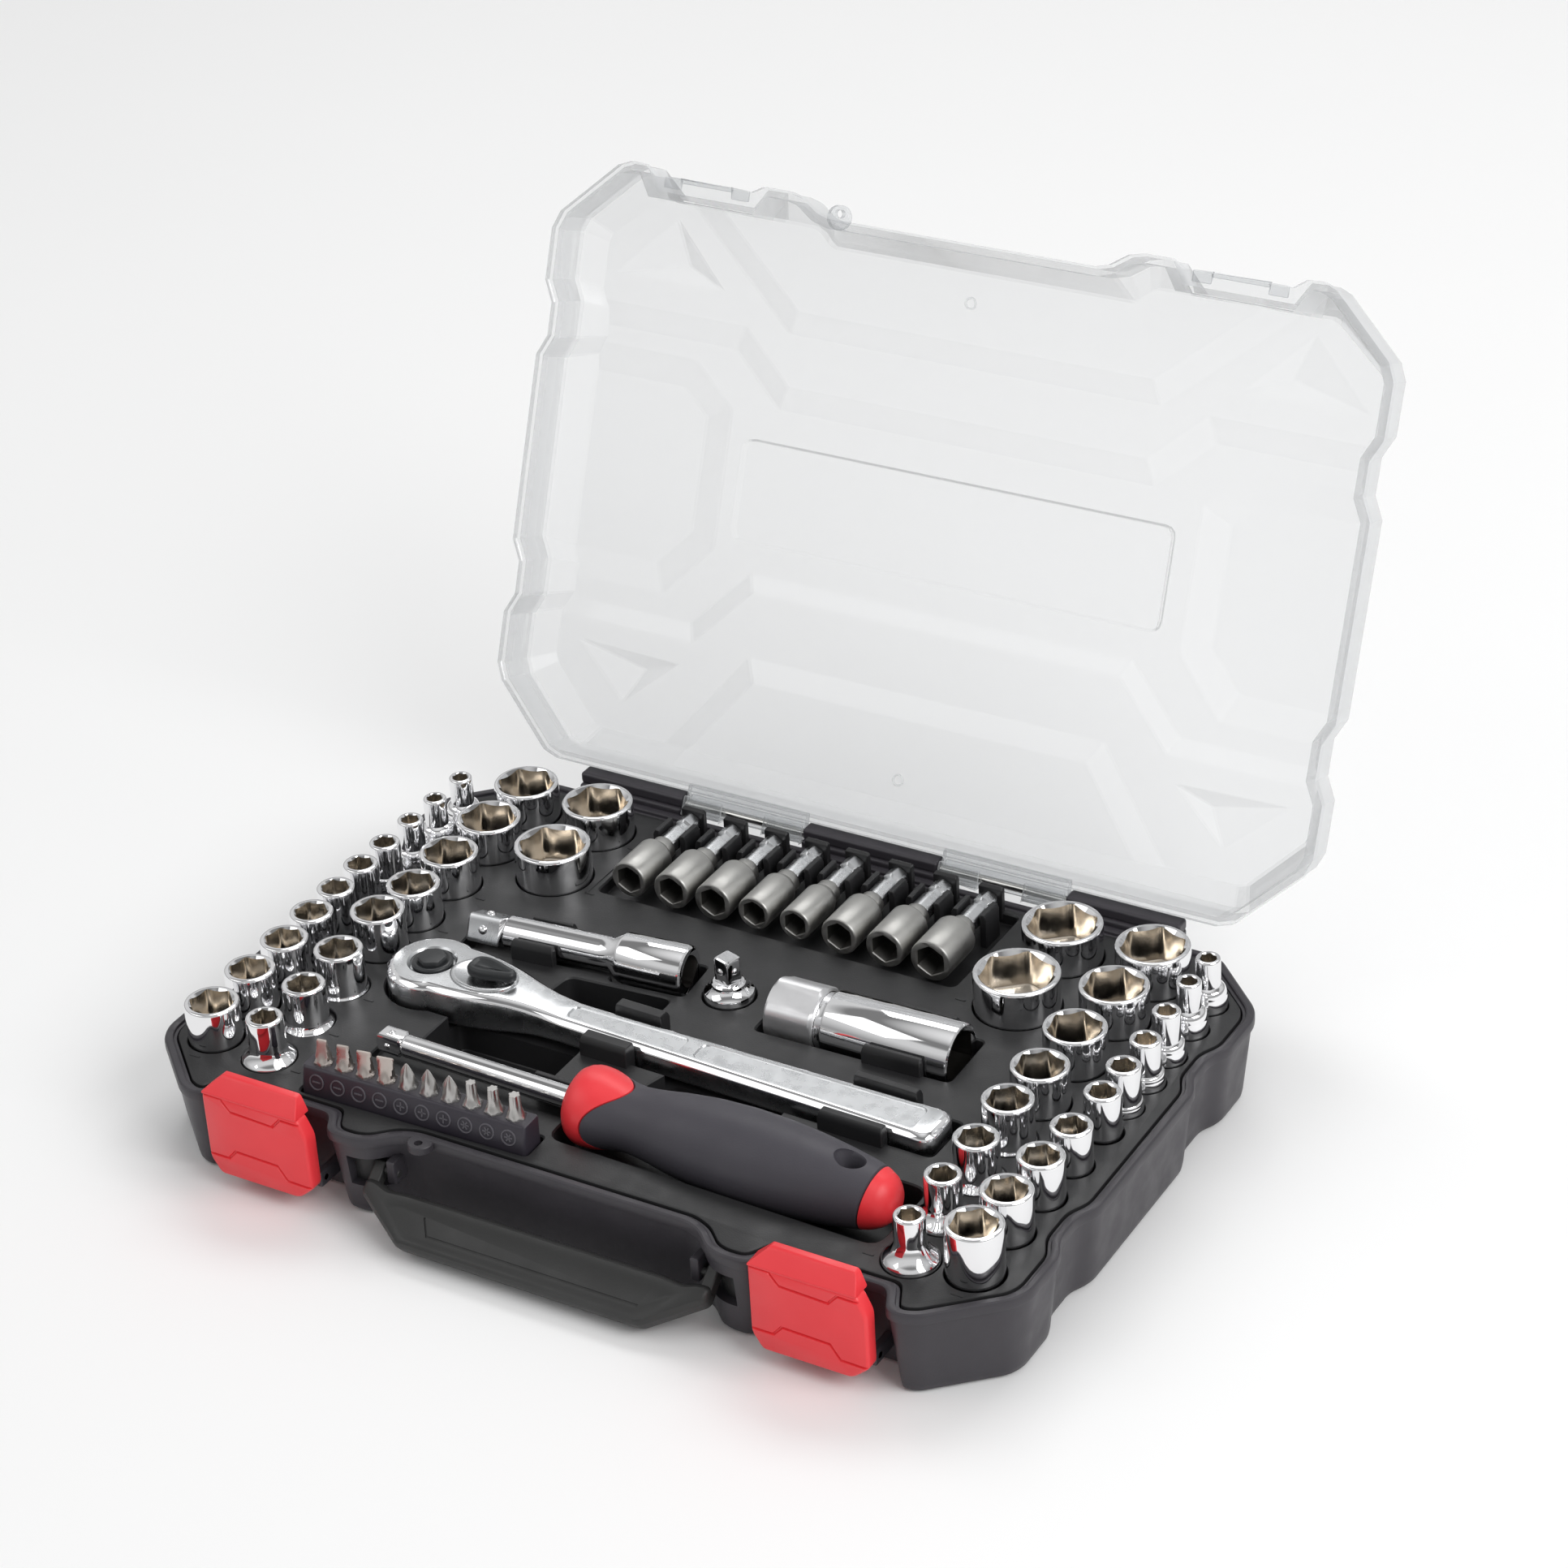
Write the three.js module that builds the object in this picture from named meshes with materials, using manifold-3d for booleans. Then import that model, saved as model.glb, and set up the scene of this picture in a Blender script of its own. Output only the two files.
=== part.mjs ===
// Socket wrench set in its case: base shell, socket tray, clear lid, two latches, carry handle, ratchet, driver,
// extension bar, drive adapter, spark plug socket, eight nut setters, a rail of ten bits and the sockets.
// Millimetres, +Z up. The origin is the centre of the flat underside; -Y is the front, the hinge is at +Y.

import * as THREE from 'three';
import { mergeVertices } from 'three/addons/utils/BufferGeometryUtils.js';
import Module from 'manifold-3d';

const wasm = await Module();
wasm.setup();

// ---- driving dimensions -------------------------------------------------------------------------------------
const WIDTH = 300;
const SIDE_Y = 77;
const FRONT_Y = -100;
const BACK_Y = 101.5;
const CORNER_X = 125;
const RECESS_Y = -89.5;
const POCKET_Y = -90.5;
const SIDE_DIP = 3.5;
const RIM_Z = 30;
const DRAFT = 3.4;
const FLOOR = 2.6;
const WALL = 2;
const RIM_BAND = 4;
const GAP = 0.3;
const DECK_Z = RIM_Z - 0.4;
const DECK_THICK = 2.4;
const CUP_WALL = 1.4;

const LID_Z = RIM_Z + 0.4;
const LID_TOP = 56;
const LID_POCKET_Y = -92.6;
const LID_LEDGE_Y = -96.6;
const LID_WALL = 2.2;
const LID_OPEN_DEG = 111.6;
const HINGE_Y = 105.9;
const HINGE_Z = 32.2;
const KNUCKLE_R = 3.2;
const PIN_R = 1.4;
const HINGE_BLOCKS = [[-111, -71], [-25, 25], [71, 111]];
const LID_KNUCKLES = [[-70.6, -25.4], [25.4, 70.6]];

const LATCH_X = 95;
const LATCH_W = 38;
const LATCH_AXIS = [-95.6, 9.6];
const LATCH_PIN_R = 1.4;
const LATCH_EAR = [15.4, 18];
const LATCH_FOOT_Z = 5.6;
const LATCH_BAR_R = 2.6;
const HANDLE_AXIS = [-93, 17.2];
const HANDLE_TILT_DEG = 40;
const HANDLE_PIN_R = 1.4;
const HANDLE_EAR_X = 52.7;
const HANDLE_POCKET = { x: 58.2, reach: 8.8, low: 11, high: 21.8, lining: 1.6 };
const EYELET = { x: -44, radius: 4, bore: 1.3 };

const HEX_BIT = 6.35;
const QUARTER = 6.45;
const THREE_EIGHTH = 9.6;

// One row per socket: centre x, centre y, barrel diameter, height of its mouth above the tray.
const QUARTER_LENGTH = 25;
const QUARTER_BASE = 12;
const THREE_EIGHTH_LENGTH = 28;
const THREE_EIGHTH_BASE = 17;
const QUARTER_SOCKETS = {
  left: [
    [-132.5, -72.5, 17.2, 13], [-132.5, -52.8, 16.2, 13.5], [-132.5, -34.7, 15.5, 14], [-133.4, -18.7, 14.2, 14.5],
    [-134.3, -4.2, 12.4, 15], [-134.8, 10.4, 11.5, 15.5], [-134.8, 24, 10.2, 16], [-134.8, 38.7, 8.7, 16.5],
  ],
  right: [
    [132, -73.5, 17.3, 17], [131.6, -53.2, 15.7, 15], [132.6, -34.1, 14.3, 14.5], [133.5, -16.6, 12.8, 14],
    [134.4, 1.8, 11.3, 14.5], [134.4, 15.6, 10.7, 15], [134.6, 30, 9.7, 15.5], [134.4, 44.8, 8.7, 16.5],
  ],
};
const THREE_EIGHTH_SOCKETS = {
  left: [
    [-111.2, -74, 11.6, 14.5], [-112.1, -52.6, 13.7, 13.5], [-113.5, -32.1, 15.7, 14], [-115, -8.7, 17.6, 14.5],
    [-115, 11, 17.6, 13], [-116, 32.8, 19.4, 12.5], [-116.6, 57, 21.3, 12], [-117.6, 81, 21.6, 12],
    [-88.4, 51.8, 25.1, 12], [-89.4, 80.8, 23.5, 12],
  ],
  right: [
    [113, -76.2, 9.5, 15.5], [112.4, -55.3, 11.2, 15.5], [112, -34.3, 13.9, 14.5], [111.4, -13.5, 16, 14.5],
    [111.4, 7, 18.1, 13.5], [111.4, 30, 19.8, 13], [112, 55.2, 21.8, 13], [113, 80.2, 23.6, 13],
    [81.7, 49.9, 27.4, 12], [81.7, 80.7, 25.7, 12],
  ],
};
// Wells in the tray whose small sockets are trim, not separate solids.
const SPARE_WELLS = [[-134.8, 53, 16.8], [-134.4, 67.6, 17], [134.3, 60.6, 17.5], [133.9, 75.2, 17]];

// One row per nut setter: centre x, barrel diameter.
const NUT_SETTERS = [
  [-61.2, 12.6], [-45.2, 13], [-29.6, 13.3], [-14.4, 11.6], [0.6, 11.2], [16.6, 12.9], [32.9, 13.3], [49.2, 14.2],
];
const NUT_MOUTH_Y = 54;
const NUT_LENGTH = 40;
const NUT_BARREL = 19;
const NUT_Z = RIM_Z + 4;

const EXTENSION = { from: [-92.8, 11.2], to: [-16.4, 18.1], z: RIM_Z + 3 };
const SPARK = { from: [17, 15.2], to: [80, 16.4], z: RIM_Z + 0.6, radius: 10.75, hex: 17 };
const ADAPTER = { x: -1.2, y: 16.4, radius: 8 };
const RATCHET = { head: [-88.5, -17.6], end: [94.2, -21.6], headR: 14.6, z: RIM_Z };
const LEVER_X = 19.8;
const BUTTON_TRAVEL = 1.5;
const DRIVER = { from: [-82, -55], to: [100, -60], z: RIM_Z + 3.6, collar: 74 };
const HANGING_HOLE = { fromEnd: 14, radius: 3.2 };
const RAIL = { from: [-92, -79.4], to: [-12.4, -77.4], width: 9.5, top: RIM_Z + 8, bottom: RIM_Z - 6 };
const BIT_COUNT = 10;
const BIT_TOP = RIM_Z + 16;

// Recesses in the tray that follow no single tool.
const NUT_RECESS = [-71, 50, 59.5, 94.5];
const NUT_RECESS_DEPTH = 4.6;
const FINGER_POCKETS = [
  [[-74, -50], [-27, -50], [-27, -26], [-74, -26]],
  [[-54, -13], [-16, -13], [-16, 6.6], [-52, 3.6]],
  [[-1, -43], [45, -45], [45, -26], [4, -26]],
];
const FINGER_DEPTH = 16;

// ---- materials ----------------------------------------------------------------------------------------------
const material = (color, roughness, metalness, extra = {}) =>
  new THREE.MeshStandardMaterial({ color, roughness, metalness, ...extra });
const CASE_BLACK = material('#37353a', 0.5, 0);
const TRAY_BLACK = material('#2a2a2c', 0.55, 0);
const HANDLE_GREY = material('#3a3c3c', 0.6, 0);
const LATCH_RED = material('#ee3a42', 0.35, 0);
const CLEAR = material('#f4f6f7', 0.08, 0, { transparent: true, opacity: 0.28 });
const CHROME = material('#d9dadb', 0.1, 1);
const SATIN_CHROME = material('#c3c4c6', 0.3, 1);
const SATIN_GREY = material('#8f8d88', 0.45, 0.9);
const GRIP_CHARCOAL = material('#4a494e', 0.75, 0);
const LEVER_BLACK = material('#34383b', 0.5, 0);
const BIT_STEEL = material('#77746f', 0.4, 0.9);

// ---- solids -------------------------------------------------------------------------------------------------
const vec = (x, y) => new THREE.Vector2(x, y);
const rad = THREE.MathUtils.degToRad;

// A closed body through horizontal rings of equal vertex count, lowest first, each counter-clockwise from above.
function loft(rings) {
  const count = rings[0].points.length;
  const positions = [];
  for (const ring of rings) {
    for (const p of ring.points) {
      positions.push(p.x, p.y, ring.z);
    }
  }
  const index = [];
  for (let r = 0; r < rings.length - 1; r++) {
    for (let i = 0; i < count; i++) {
      const a = r * count + i;
      const b = r * count + ((i + 1) % count);
      index.push(a, b, b + count, a, b + count, a + count);
    }
  }
  const top = (rings.length - 1) * count;
  for (const [a, b, c] of THREE.ShapeUtils.triangulateShape(rings[0].points, [])) {
    index.push(c, b, a);
  }
  for (const [a, b, c] of THREE.ShapeUtils.triangulateShape(rings[rings.length - 1].points, [])) {
    index.push(top + a, top + b, top + c);
  }
  const geometry = new THREE.BufferGeometry();
  geometry.setAttribute('position', new THREE.Float32BufferAttribute(positions, 3));
  geometry.setIndex(index);
  return geometry;
}

function solid(geometry) {
  geometry.deleteAttribute('normal');
  geometry.deleteAttribute('uv');
  const merged = mergeVertices(geometry, 1e-4);
  const corners = merged.index.array;
  const triangles = [];
  for (let i = 0; i < corners.length; i += 3) {
    const [a, b, c] = corners.slice(i, i + 3);
    if (a !== b && b !== c && c !== a) {
      triangles.push(a, b, c);
    }
  }
  return new wasm.Manifold(new wasm.Mesh({
    numProp: 3,
    vertProperties: new Float32Array(merged.attributes.position.array),
    triVerts: new Uint32Array(triangles),
  }));
}

function shell(manifold) {
  const mesh = manifold.getMesh();
  const geometry = new THREE.BufferGeometry();
  geometry.setAttribute('position', new THREE.Float32BufferAttribute(Array.from(mesh.vertProperties), 3));
  geometry.setIndex(Array.from(mesh.triVerts));
  const faceted = geometry.toNonIndexed();
  faceted.computeVertexNormals();
  return faceted;
}

const circle = (radius, segments, x = 0, y = 0, turn = 0) =>
  Array.from({ length: segments }, (_, i) => {
    const a = turn + (i / segments) * 2 * Math.PI;
    return vec(x + radius * Math.cos(a), y + radius * Math.sin(a));
  });
const hexagon = (flats, x = 0, y = 0, turn = 0) => circle(flats / Math.sqrt(3), 6, x, y, turn);
const square = (flats, x = 0, y = 0, turn = Math.PI / 4) => circle(flats / Math.SQRT2, 4, x, y, turn);
const rectangle = (x0, y0, x1, y1) => [vec(x0, y0), vec(x1, y0), vec(x1, y1), vec(x0, y1)];

const prism = (points, z0, z1) =>
  solid(new THREE.ExtrudeGeometry(new THREE.Shape(points), { depth: z1 - z0, bevelEnabled: false })
    .translate(0, 0, z0));
const box = (x0, x1, y0, y1, z0, z1) => prism(rectangle(x0, y0, x1, y1), z0, z1);
// A turned body about Z from [height, radius] pairs, lowest first.
const turned = (profile, segments, turn = 0) => {
  const [low, high] = [profile[0][0], profile[profile.length - 1][0]];
  const points = [vec(0, low), ...profile.map(([z, radius]) => vec(radius, z)), vec(0, high)];
  return solid(new THREE.LatheGeometry(points, segments, turn).rotateX(Math.PI / 2));
};

// Moves every edge of a counter-clockwise outline inwards by the same distance.
function inset(points, distance) {
  const count = points.length;
  return points.map((p, i) => {
    const before = p.clone().sub(points[(i + count - 1) % count]).normalize();
    const after = points[(i + 1) % count].clone().sub(p).normalize();
    const n1 = vec(-before.y, before.x);
    const n2 = vec(-after.y, after.x);
    return p.clone().addScaledVector(n1.clone().add(n2), distance / (1 + n1.dot(n2)));
  });
}

// Rounds the corners of an outline with short chamfers.
function ease(points, length) {
  const count = points.length;
  return points.flatMap((p, i) => {
    const before = points[(i + count - 1) % count].clone().sub(p);
    const after = points[(i + 1) % count].clone().sub(p);
    const cut = Math.min(length, before.length() / 2.5, after.length() / 2.5);
    return [p.clone().addScaledVector(before.normalize(), cut), p.clone().addScaledVector(after.normalize(), cut)];
  });
}

// Places a solid made along +Z so that it lies from one plan point towards another.
function layAlong(manifold, from, to, z) {
  const angle = Math.atan2(to[1] - from[1], to[0] - from[0]);
  const matrix = new THREE.Matrix4()
    .makeTranslation(from[0], from[1], z)
    .multiply(new THREE.Matrix4().makeRotationZ(angle))
    .multiply(new THREE.Matrix4().makeRotationY(Math.PI / 2));
  return manifold.transform(matrix.elements);
}
const span = ({ from, to }) => Math.hypot(to[0] - from[0], to[1] - from[1]);
const along = ({ from, to }, distance, across = 0) => {
  const length = span({ from, to });
  const [ux, uy] = [(to[0] - from[0]) / length, (to[1] - from[1]) / length];
  return [from[0] + ux * distance - uy * across, from[1] + uy * distance + ux * across];
};
// A plan rectangle that follows a lying tool, from one distance along it to another.
function plate(tool, start, stop, inner, outer) {
  const [a, b] = [along(tool, start, inner), along(tool, stop, inner)];
  const [c, d] = [along(tool, stop, outer), along(tool, start, outer)];
  return [vec(...a), vec(...b), vec(...c), vec(...d)];
}

const group = new THREE.Group();
group.name = 'socket_wrench_set_in_case';

function add(name, manifold, look, parent = group) {
  const mesh = new THREE.Mesh(shell(manifold), look);
  mesh.name = name;
  parent.add(mesh);
  return mesh;
}

// ---- case ---------------------------------------------------------------------------------------------------
// Right half of the case plan, from the middle of the front to the middle of the back. The front steps back to
// recessY behind the carry handle and to pocketY behind each latch.
function halfOutline(recessY, pocketY, frontY) {
  const half = WIDTH / 2;
  const lobe = (share) => THREE.MathUtils.lerp(recessY, frontY, share);
  return [
    [47, recessY], [52, lobe(0.18)], [58, lobe(0.72)], [63, lobe(0.88)],
    [72.5, lobe(0.88)], [77, pocketY], [113, pocketY], [117.5, frontY + 0.2],
    [CORNER_X - 2, frontY], [CORNER_X + 2.5, frontY + 1.8], [half - 2.6, -SIDE_Y - 3], [half, -SIDE_Y + 3],
    [half, -56.5], [half - SIDE_DIP, -49.5], [half - SIDE_DIP, -38.5], [half, -31.5],
    [half, 31.5], [half - SIDE_DIP, 38.5], [half - SIDE_DIP, 49.5], [half, 56.5],
    [half, SIDE_Y - 3], [half - 2.6, SIDE_Y + 3], [CORNER_X + 2.5, BACK_Y - 1.8], [CORNER_X - 3, BACK_Y],
  ];
}

function outline(recessY, pocketY, frontY = FRONT_Y) {
  const right = halfOutline(recessY, pocketY, frontY).map(([x, y]) => vec(x, y));
  const left = right.map((p) => vec(-p.x, p.y)).reverse();
  return [...right, ...left];
}

function caseBase() {
  const plan = outline(RECESS_Y, POCKET_Y);
  let body = solid(loft([
    { z: 0, points: inset(plan, DRAFT + 2.4) },
    { z: 0.9, points: inset(plan, DRAFT + 0.9) },
    { z: 3, points: inset(plan, DRAFT) },
    { z: RIM_Z - 3.4, points: inset(plan, 0.9) },
    { z: RIM_Z - 2.8, points: plan },
    { z: RIM_Z - 0.8, points: plan },
    { z: RIM_Z, points: inset(plan, 0.8) },
  ]));
  for (const [x0, x1] of HINGE_BLOCKS) {
    const foot = box(x0, x1, BACK_Y - 3, HINGE_Y, RIM_Z - 8, RIM_Z - 0.8);
    const web = foot.add(box(x0, x1, BACK_Y + 0.5, HINGE_Y + KNUCKLE_R, RIM_Z - 8, HINGE_Z));
    const toe = box(x0, x1, BACK_Y + 1, HINGE_Y + KNUCKLE_R + 1, RIM_Z - 9, RIM_Z - 4)
      .subtract(box(x0 + 3, x1 - 3, BACK_Y + 2, HINGE_Y + 2, RIM_Z - 10, RIM_Z - 5));
    body = body.add(web).add(toe).add(lyingBarrel(x0, x1, HINGE_Y, HINGE_Z, KNUCKLE_R));
  }
  body = body.add(prism(circle(EYELET.radius, 10, EYELET.x, RECESS_Y - 1), RIM_Z - 2.8, RIM_Z - 0.2));
  body = body.subtract(prism(circle(EYELET.bore, 8, EYELET.x, RECESS_Y - 2), RIM_Z - 4, RIM_Z + 1));
  const outside = body;
  body = body.subtract(solid(loft([
    { z: FLOOR, points: inset(plan, DRAFT + WALL) },
    { z: RIM_Z - 4, points: inset(plan, RIM_BAND) },
    { z: RIM_Z + 1, points: inset(plan, RIM_BAND) },
  ])));
  for (const [x0, x1] of HINGE_BLOCKS) {
    body = body.subtract(lyingBarrel(x0 - 1, x1 + 1, HINGE_Y, HINGE_Z, PIN_R, 8));
  }
  for (const side of [-1, 1]) {
    for (const end of [-1, 1]) {
      const [inner, outer] = LATCH_EAR.map((reach) => LATCH_X * side + end * reach).sort((a, b) => a - b);
      const [y, z] = LATCH_AXIS;
      body = body.add(lyingBarrel(inner, outer, y, z, LATCH_BAR_R));
      body = body.add(box(inner, outer, y, -86.8, z - LATCH_BAR_R, z + LATCH_BAR_R));
      body = body.subtract(lyingBarrel(inner - 1, outer + 1, ...LATCH_AXIS, LATCH_PIN_R + GAP, 8));
    }
    const { reach, low, high, lining } = HANDLE_POCKET;
    const centre = HANDLE_POCKET.x * side;
    const ear = HANDLE_EAR_X * side;
    const wall = box(centre - reach - lining, centre + reach + lining, -102, -88.4, low - lining, high + lining);
    body = body.add(outside.intersect(wall)).subtract(box(centre - reach, centre + reach, -104, -90, low, high));
    body = body.add(box(ear - 1.5, ear + 1.5, -95.4, -89, 14.4, 22.4));
    body = body.subtract(lyingBarrel(ear - 3, ear + 3, ...HANDLE_AXIS, HANDLE_PIN_R + GAP, 8));
  }
  return body;
}

// A round bar along X.
function lyingBarrel(x0, x1, y, z, radius, segments = 12) {
  const bar = turned([[0, radius], [x1 - x0, radius]], segments, Math.PI / segments);
  return layAlong(bar, [x0, y], [x1, y], z);
}

function lid() {
  const flange = outline(LID_POCKET_Y, LID_LEDGE_Y);
  const wall = outline(LID_POCKET_Y, LID_POCKET_Y);
  const crown = outline(LID_POCKET_Y, LID_POCKET_Y, LID_POCKET_Y);
  let body = solid(loft([
    { z: LID_Z, points: flange },
    { z: LID_Z + 2.6, points: flange },
    { z: LID_Z + 3, points: inset(wall, 0.9) },
    { z: LID_TOP - 6, points: inset(wall, 3.4) },
    { z: LID_TOP - 1, points: inset(crown, 8) },
    { z: LID_TOP, points: inset(crown, 9.4) },
  ]));
  body = body.subtract(solid(loft([
    { z: LID_Z - 1, points: inset(wall, 3) },
    { z: LID_Z + 3, points: inset(wall, 0.9 + LID_WALL) },
    { z: LID_TOP - 7, points: inset(wall, 3.4 + LID_WALL) },
    { z: LID_TOP - LID_WALL, points: inset(crown, 8 + LID_WALL) },
  ])));
  const panel = ease(rectangle(-76, -26, 76, 8), 4);
  body = body.add(solid(loft([
    { z: LID_TOP - 0.5, points: panel },
    { z: LID_TOP + 0.5, points: panel },
    { z: LID_TOP + 1, points: inset(panel, 0.7) },
  ])));
  for (const [y0, y1, front, back] of [[-66, -44, 58, 74], [26, 48, 74, 58]]) {
    const band = [vec(-front, y0), vec(front, y0), vec(back, y1), vec(-back, y1)];
    body = body.add(solid(loft([
      { z: LID_TOP - 0.5, points: band },
      { z: LID_TOP + 1.2, points: inset(band, 2) },
    ])));
  }
  for (const [x0, x1] of LID_KNUCKLES) {
    body = body.add(box(x0, x1, BACK_Y - 2.2, HINGE_Y, HINGE_Z - 1, HINGE_Z + 2.4));
    body = body.add(lyingBarrel(x0, x1, HINGE_Y, HINGE_Z, KNUCKLE_R));
    body = body.subtract(lyingBarrel(x0 - 1, x1 + 1, HINGE_Y, HINGE_Z, PIN_R, 8));
  }
  for (const side of [-1, 1]) {
    body = body.subtract(box(LATCH_X * side - 9, LATCH_X * side + 9, -99, -94.2, LID_Z - 1, LID_Z + 4));
  }
  body = body.add(prism(circle(EYELET.radius, 10, EYELET.x, LID_POCKET_Y - 1), LID_Z, LID_Z + 2.4));
  body = body.subtract(prism(circle(EYELET.bore, 8, EYELET.x, LID_POCKET_Y - 2.4), LID_Z - 1, LID_Z + 4));
  const swing = new THREE.Matrix4()
    .makeTranslation(0, HINGE_Y, HINGE_Z)
    .multiply(new THREE.Matrix4().makeRotationX(rad(-LID_OPEN_DEG)))
    .multiply(new THREE.Matrix4().makeTranslation(0, -HINGE_Y, -HINGE_Z));
  return body.transform(swing.elements);
}

// Drawn in the closed position: a bevelled plate with a sloping head over the rim and a pivot bar at its foot.
function latch(side) {
  const half = LATCH_W / 2;
  const face = [
    vec(-half + 3.5, LATCH_FOOT_Z), vec(half - 5.5, LATCH_FOOT_Z), vec(half, 10.4),
    vec(half, 28.5), vec(half - 3, 34.5), vec(-half, 34.5), vec(-half, 11),
  ];
  const turnUp = new THREE.Matrix4().makeRotationX(Math.PI / 2);
  const slab = (points, y0, y1) => prism(points, -y0, -y1).transform(turnUp.elements);
  let body = slab(inset(face, 0.9), -99.4, -104.2).add(slab(face, -99, -103.4));
  const slope = solid(loft([
    { z: 34, points: rectangle(-half, -103.4, half - 3, -97.4) },
    { z: 40, points: rectangle(-half + 5, -99.6, half - 5, -97.4) },
  ]));
  const web = LATCH_EAR[0] - 2;
  const [y, z] = LATCH_AXIS;
  body = body.add(slope).add(box(-web, web, -99.2, y, z - LATCH_BAR_R, z + LATCH_BAR_R));
  body = body.add(lyingBarrel(-web, web, y, z, LATCH_BAR_R));
  body = body.add(lyingBarrel(-LATCH_EAR[1], LATCH_EAR[1], y, z, LATCH_PIN_R, 8));
  return body.translate([side * LATCH_X, 0, 0]);
}

// Drawn straight out along -Y from its pivot, then turned down to where it hangs.
function carryHandle() {
  const grip = [
    vec(-42, -21.2), vec(42, -21.2), vec(59.8, -9), vec(59.8, -4), vec(55.8, -4), vec(51, -5.6), vec(44, -5),
    vec(-44, -5), vec(-51, -5.6), vec(-55.8, -4), vec(-59.8, -4), vec(-59.8, -9),
  ];
  let body = solid(loft([
    { z: -3.5, points: inset(grip, 1.5) },
    { z: -2, points: grip },
    { z: 2, points: grip },
    { z: 3.5, points: inset(grip, 1.5) },
  ]));
  for (const side of [-1, 1]) {
    body = body.add(box(57.8 * side - 2, 57.8 * side + 2, -6.4, 2.2, -2, 2));
    body = body.add(lyingBarrel(55 * side - 4, 55 * side + 4, 0, 0, HANDLE_PIN_R, 8));
  }
  const hang = new THREE.Matrix4()
    .makeTranslation(0, ...HANDLE_AXIS)
    .multiply(new THREE.Matrix4().makeRotationX(rad(HANDLE_TILT_DEG)));
  return body.transform(hang.elements);
}

// ---- sockets ------------------------------------------------------------------------------------------------
// Stands on z = 0 with the six-point mouth up and the square drive underneath.
function socket(diameter, length, base, drive) {
  const radius = diameter / 2;
  const foot = Math.max(diameter, base) / 2;
  const segments = diameter > 20 ? 16 : 12;
  const flats = diameter * (0.6 + 0.18 * THREE.MathUtils.clamp((diameter - 7) / 14, 0, 1));
  const depth = length * 0.45;
  const profile = [[0, foot - 0.5], [0.5, foot]];
  if (foot - radius > 0.4) {
    profile.push([length * 0.48, foot], [length * 0.48 + (foot - radius) * 1.6, radius]);
  }
  profile.push([length - 0.7, radius], [length, radius - 0.6]);
  return turned(profile, segments, Math.PI / segments)
    .subtract(prism(hexagon(flats, 0, 0, Math.PI / 6), length - depth, length + 1))
    .subtract(prism(square(drive), -1, length - depth + 0.5));
}

function placeSockets(sets, kind, length, base, drive) {
  for (const [side, rows] of Object.entries(sets)) {
    rows.forEach(([x, y, diameter, rise], i) => {
      const mesh = add(`socket_${kind}_${side}_${i + 1}`, socket(diameter, length, base, drive), CHROME);
      mesh.position.set(x, y, RIM_Z + rise - length);
      mesh.rotation.z = side === 'left' ? rad(-12) : rad(10);
    });
  }
}

function wellsOf(sets, length, base) {
  return Object.values(sets).flat().map(([x, y, diameter, rise]) => (
    { x, y, radius: Math.max(diameter, base) / 2 + 0.6, floor: RIM_Z + rise - length - GAP }
  ));
}

// ---- lying and standing tools -------------------------------------------------------------------------------
function nutSetter([x, diameter]) {
  const radius = diameter / 2;
  const barrel = turned([
    [0, radius - 0.6], [0.6, radius], [NUT_BARREL - 2, radius], [NUT_BARREL, 4.1], [NUT_BARREL + 3.5, 4.1],
  ], 12);
  const shank = prism(hexagon(HEX_BIT), NUT_BARREL + 3, NUT_LENGTH);
  const body = barrel.add(shank).subtract(prism(hexagon(diameter * 0.7), -1, 9));
  return layAlong(body, [x, NUT_MOUTH_Y], [x, NUT_MOUTH_Y + 1], NUT_Z);
}

function extensionBar() {
  const length = span(EXTENSION);
  const male = prism(square(9.4, 0, 0, 0.35), 0, 13);
  const bar = turned([[12, 4.4], [13.5, 5.6], [length - 24, 5.6], [length - 22.6, 8.2], [length - 0.6, 8.2],
    [length, 7.7]], 14);
  const female = prism(square(THREE_EIGHTH, 0, 0, 0.35), length - 11, length + 1);
  return layAlong(male.add(bar).subtract(female), EXTENSION.from, EXTENSION.to, EXTENSION.z);
}

function driveAdapter() {
  const { x, y, radius } = ADAPTER;
  const foot = turned([[0, radius - 0.4], [0.5, radius], [15, radius], [17.5, 5.2], [18.4, 4.6]], 16);
  const tip = solid(loft([
    { z: 18, points: square(6.3, 0, 0, 0.5) },
    { z: 26.4, points: square(6.3, 0, 0, 0.5) },
    { z: 27.2, points: square(5.2, 0, 0, 0.5) },
  ]));
  const drive = prism(square(THREE_EIGHTH), -1, 11);
  return foot.add(tip).subtract(drive).translate([x, y, RIM_Z - 13.4]);
}

function sparkPlugSocket() {
  const length = span(SPARK);
  const hex = prism(hexagon(20.6), 0, SPARK.hex);
  const trim = turned([[0, 10.6], [1, 11.6], [SPARK.hex - 1.4, 11.6], [SPARK.hex, 10]], 24);
  const body = turned([[SPARK.hex - 0.6, 9.4], [SPARK.hex + 0.8, SPARK.radius], [length - 1, SPARK.radius],
    [length, SPARK.radius - 0.8]], 20);
  const mouth = prism(hexagon(16.2), length - 26, length + 1);
  const drive = prism(square(THREE_EIGHTH), -1, 12);
  return layAlong(hex.intersect(trim).add(body).subtract(mouth).subtract(drive), SPARK.from, SPARK.to, SPARK.z);
}

const ratchetLine = { from: RATCHET.head, to: RATCHET.end };

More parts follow.
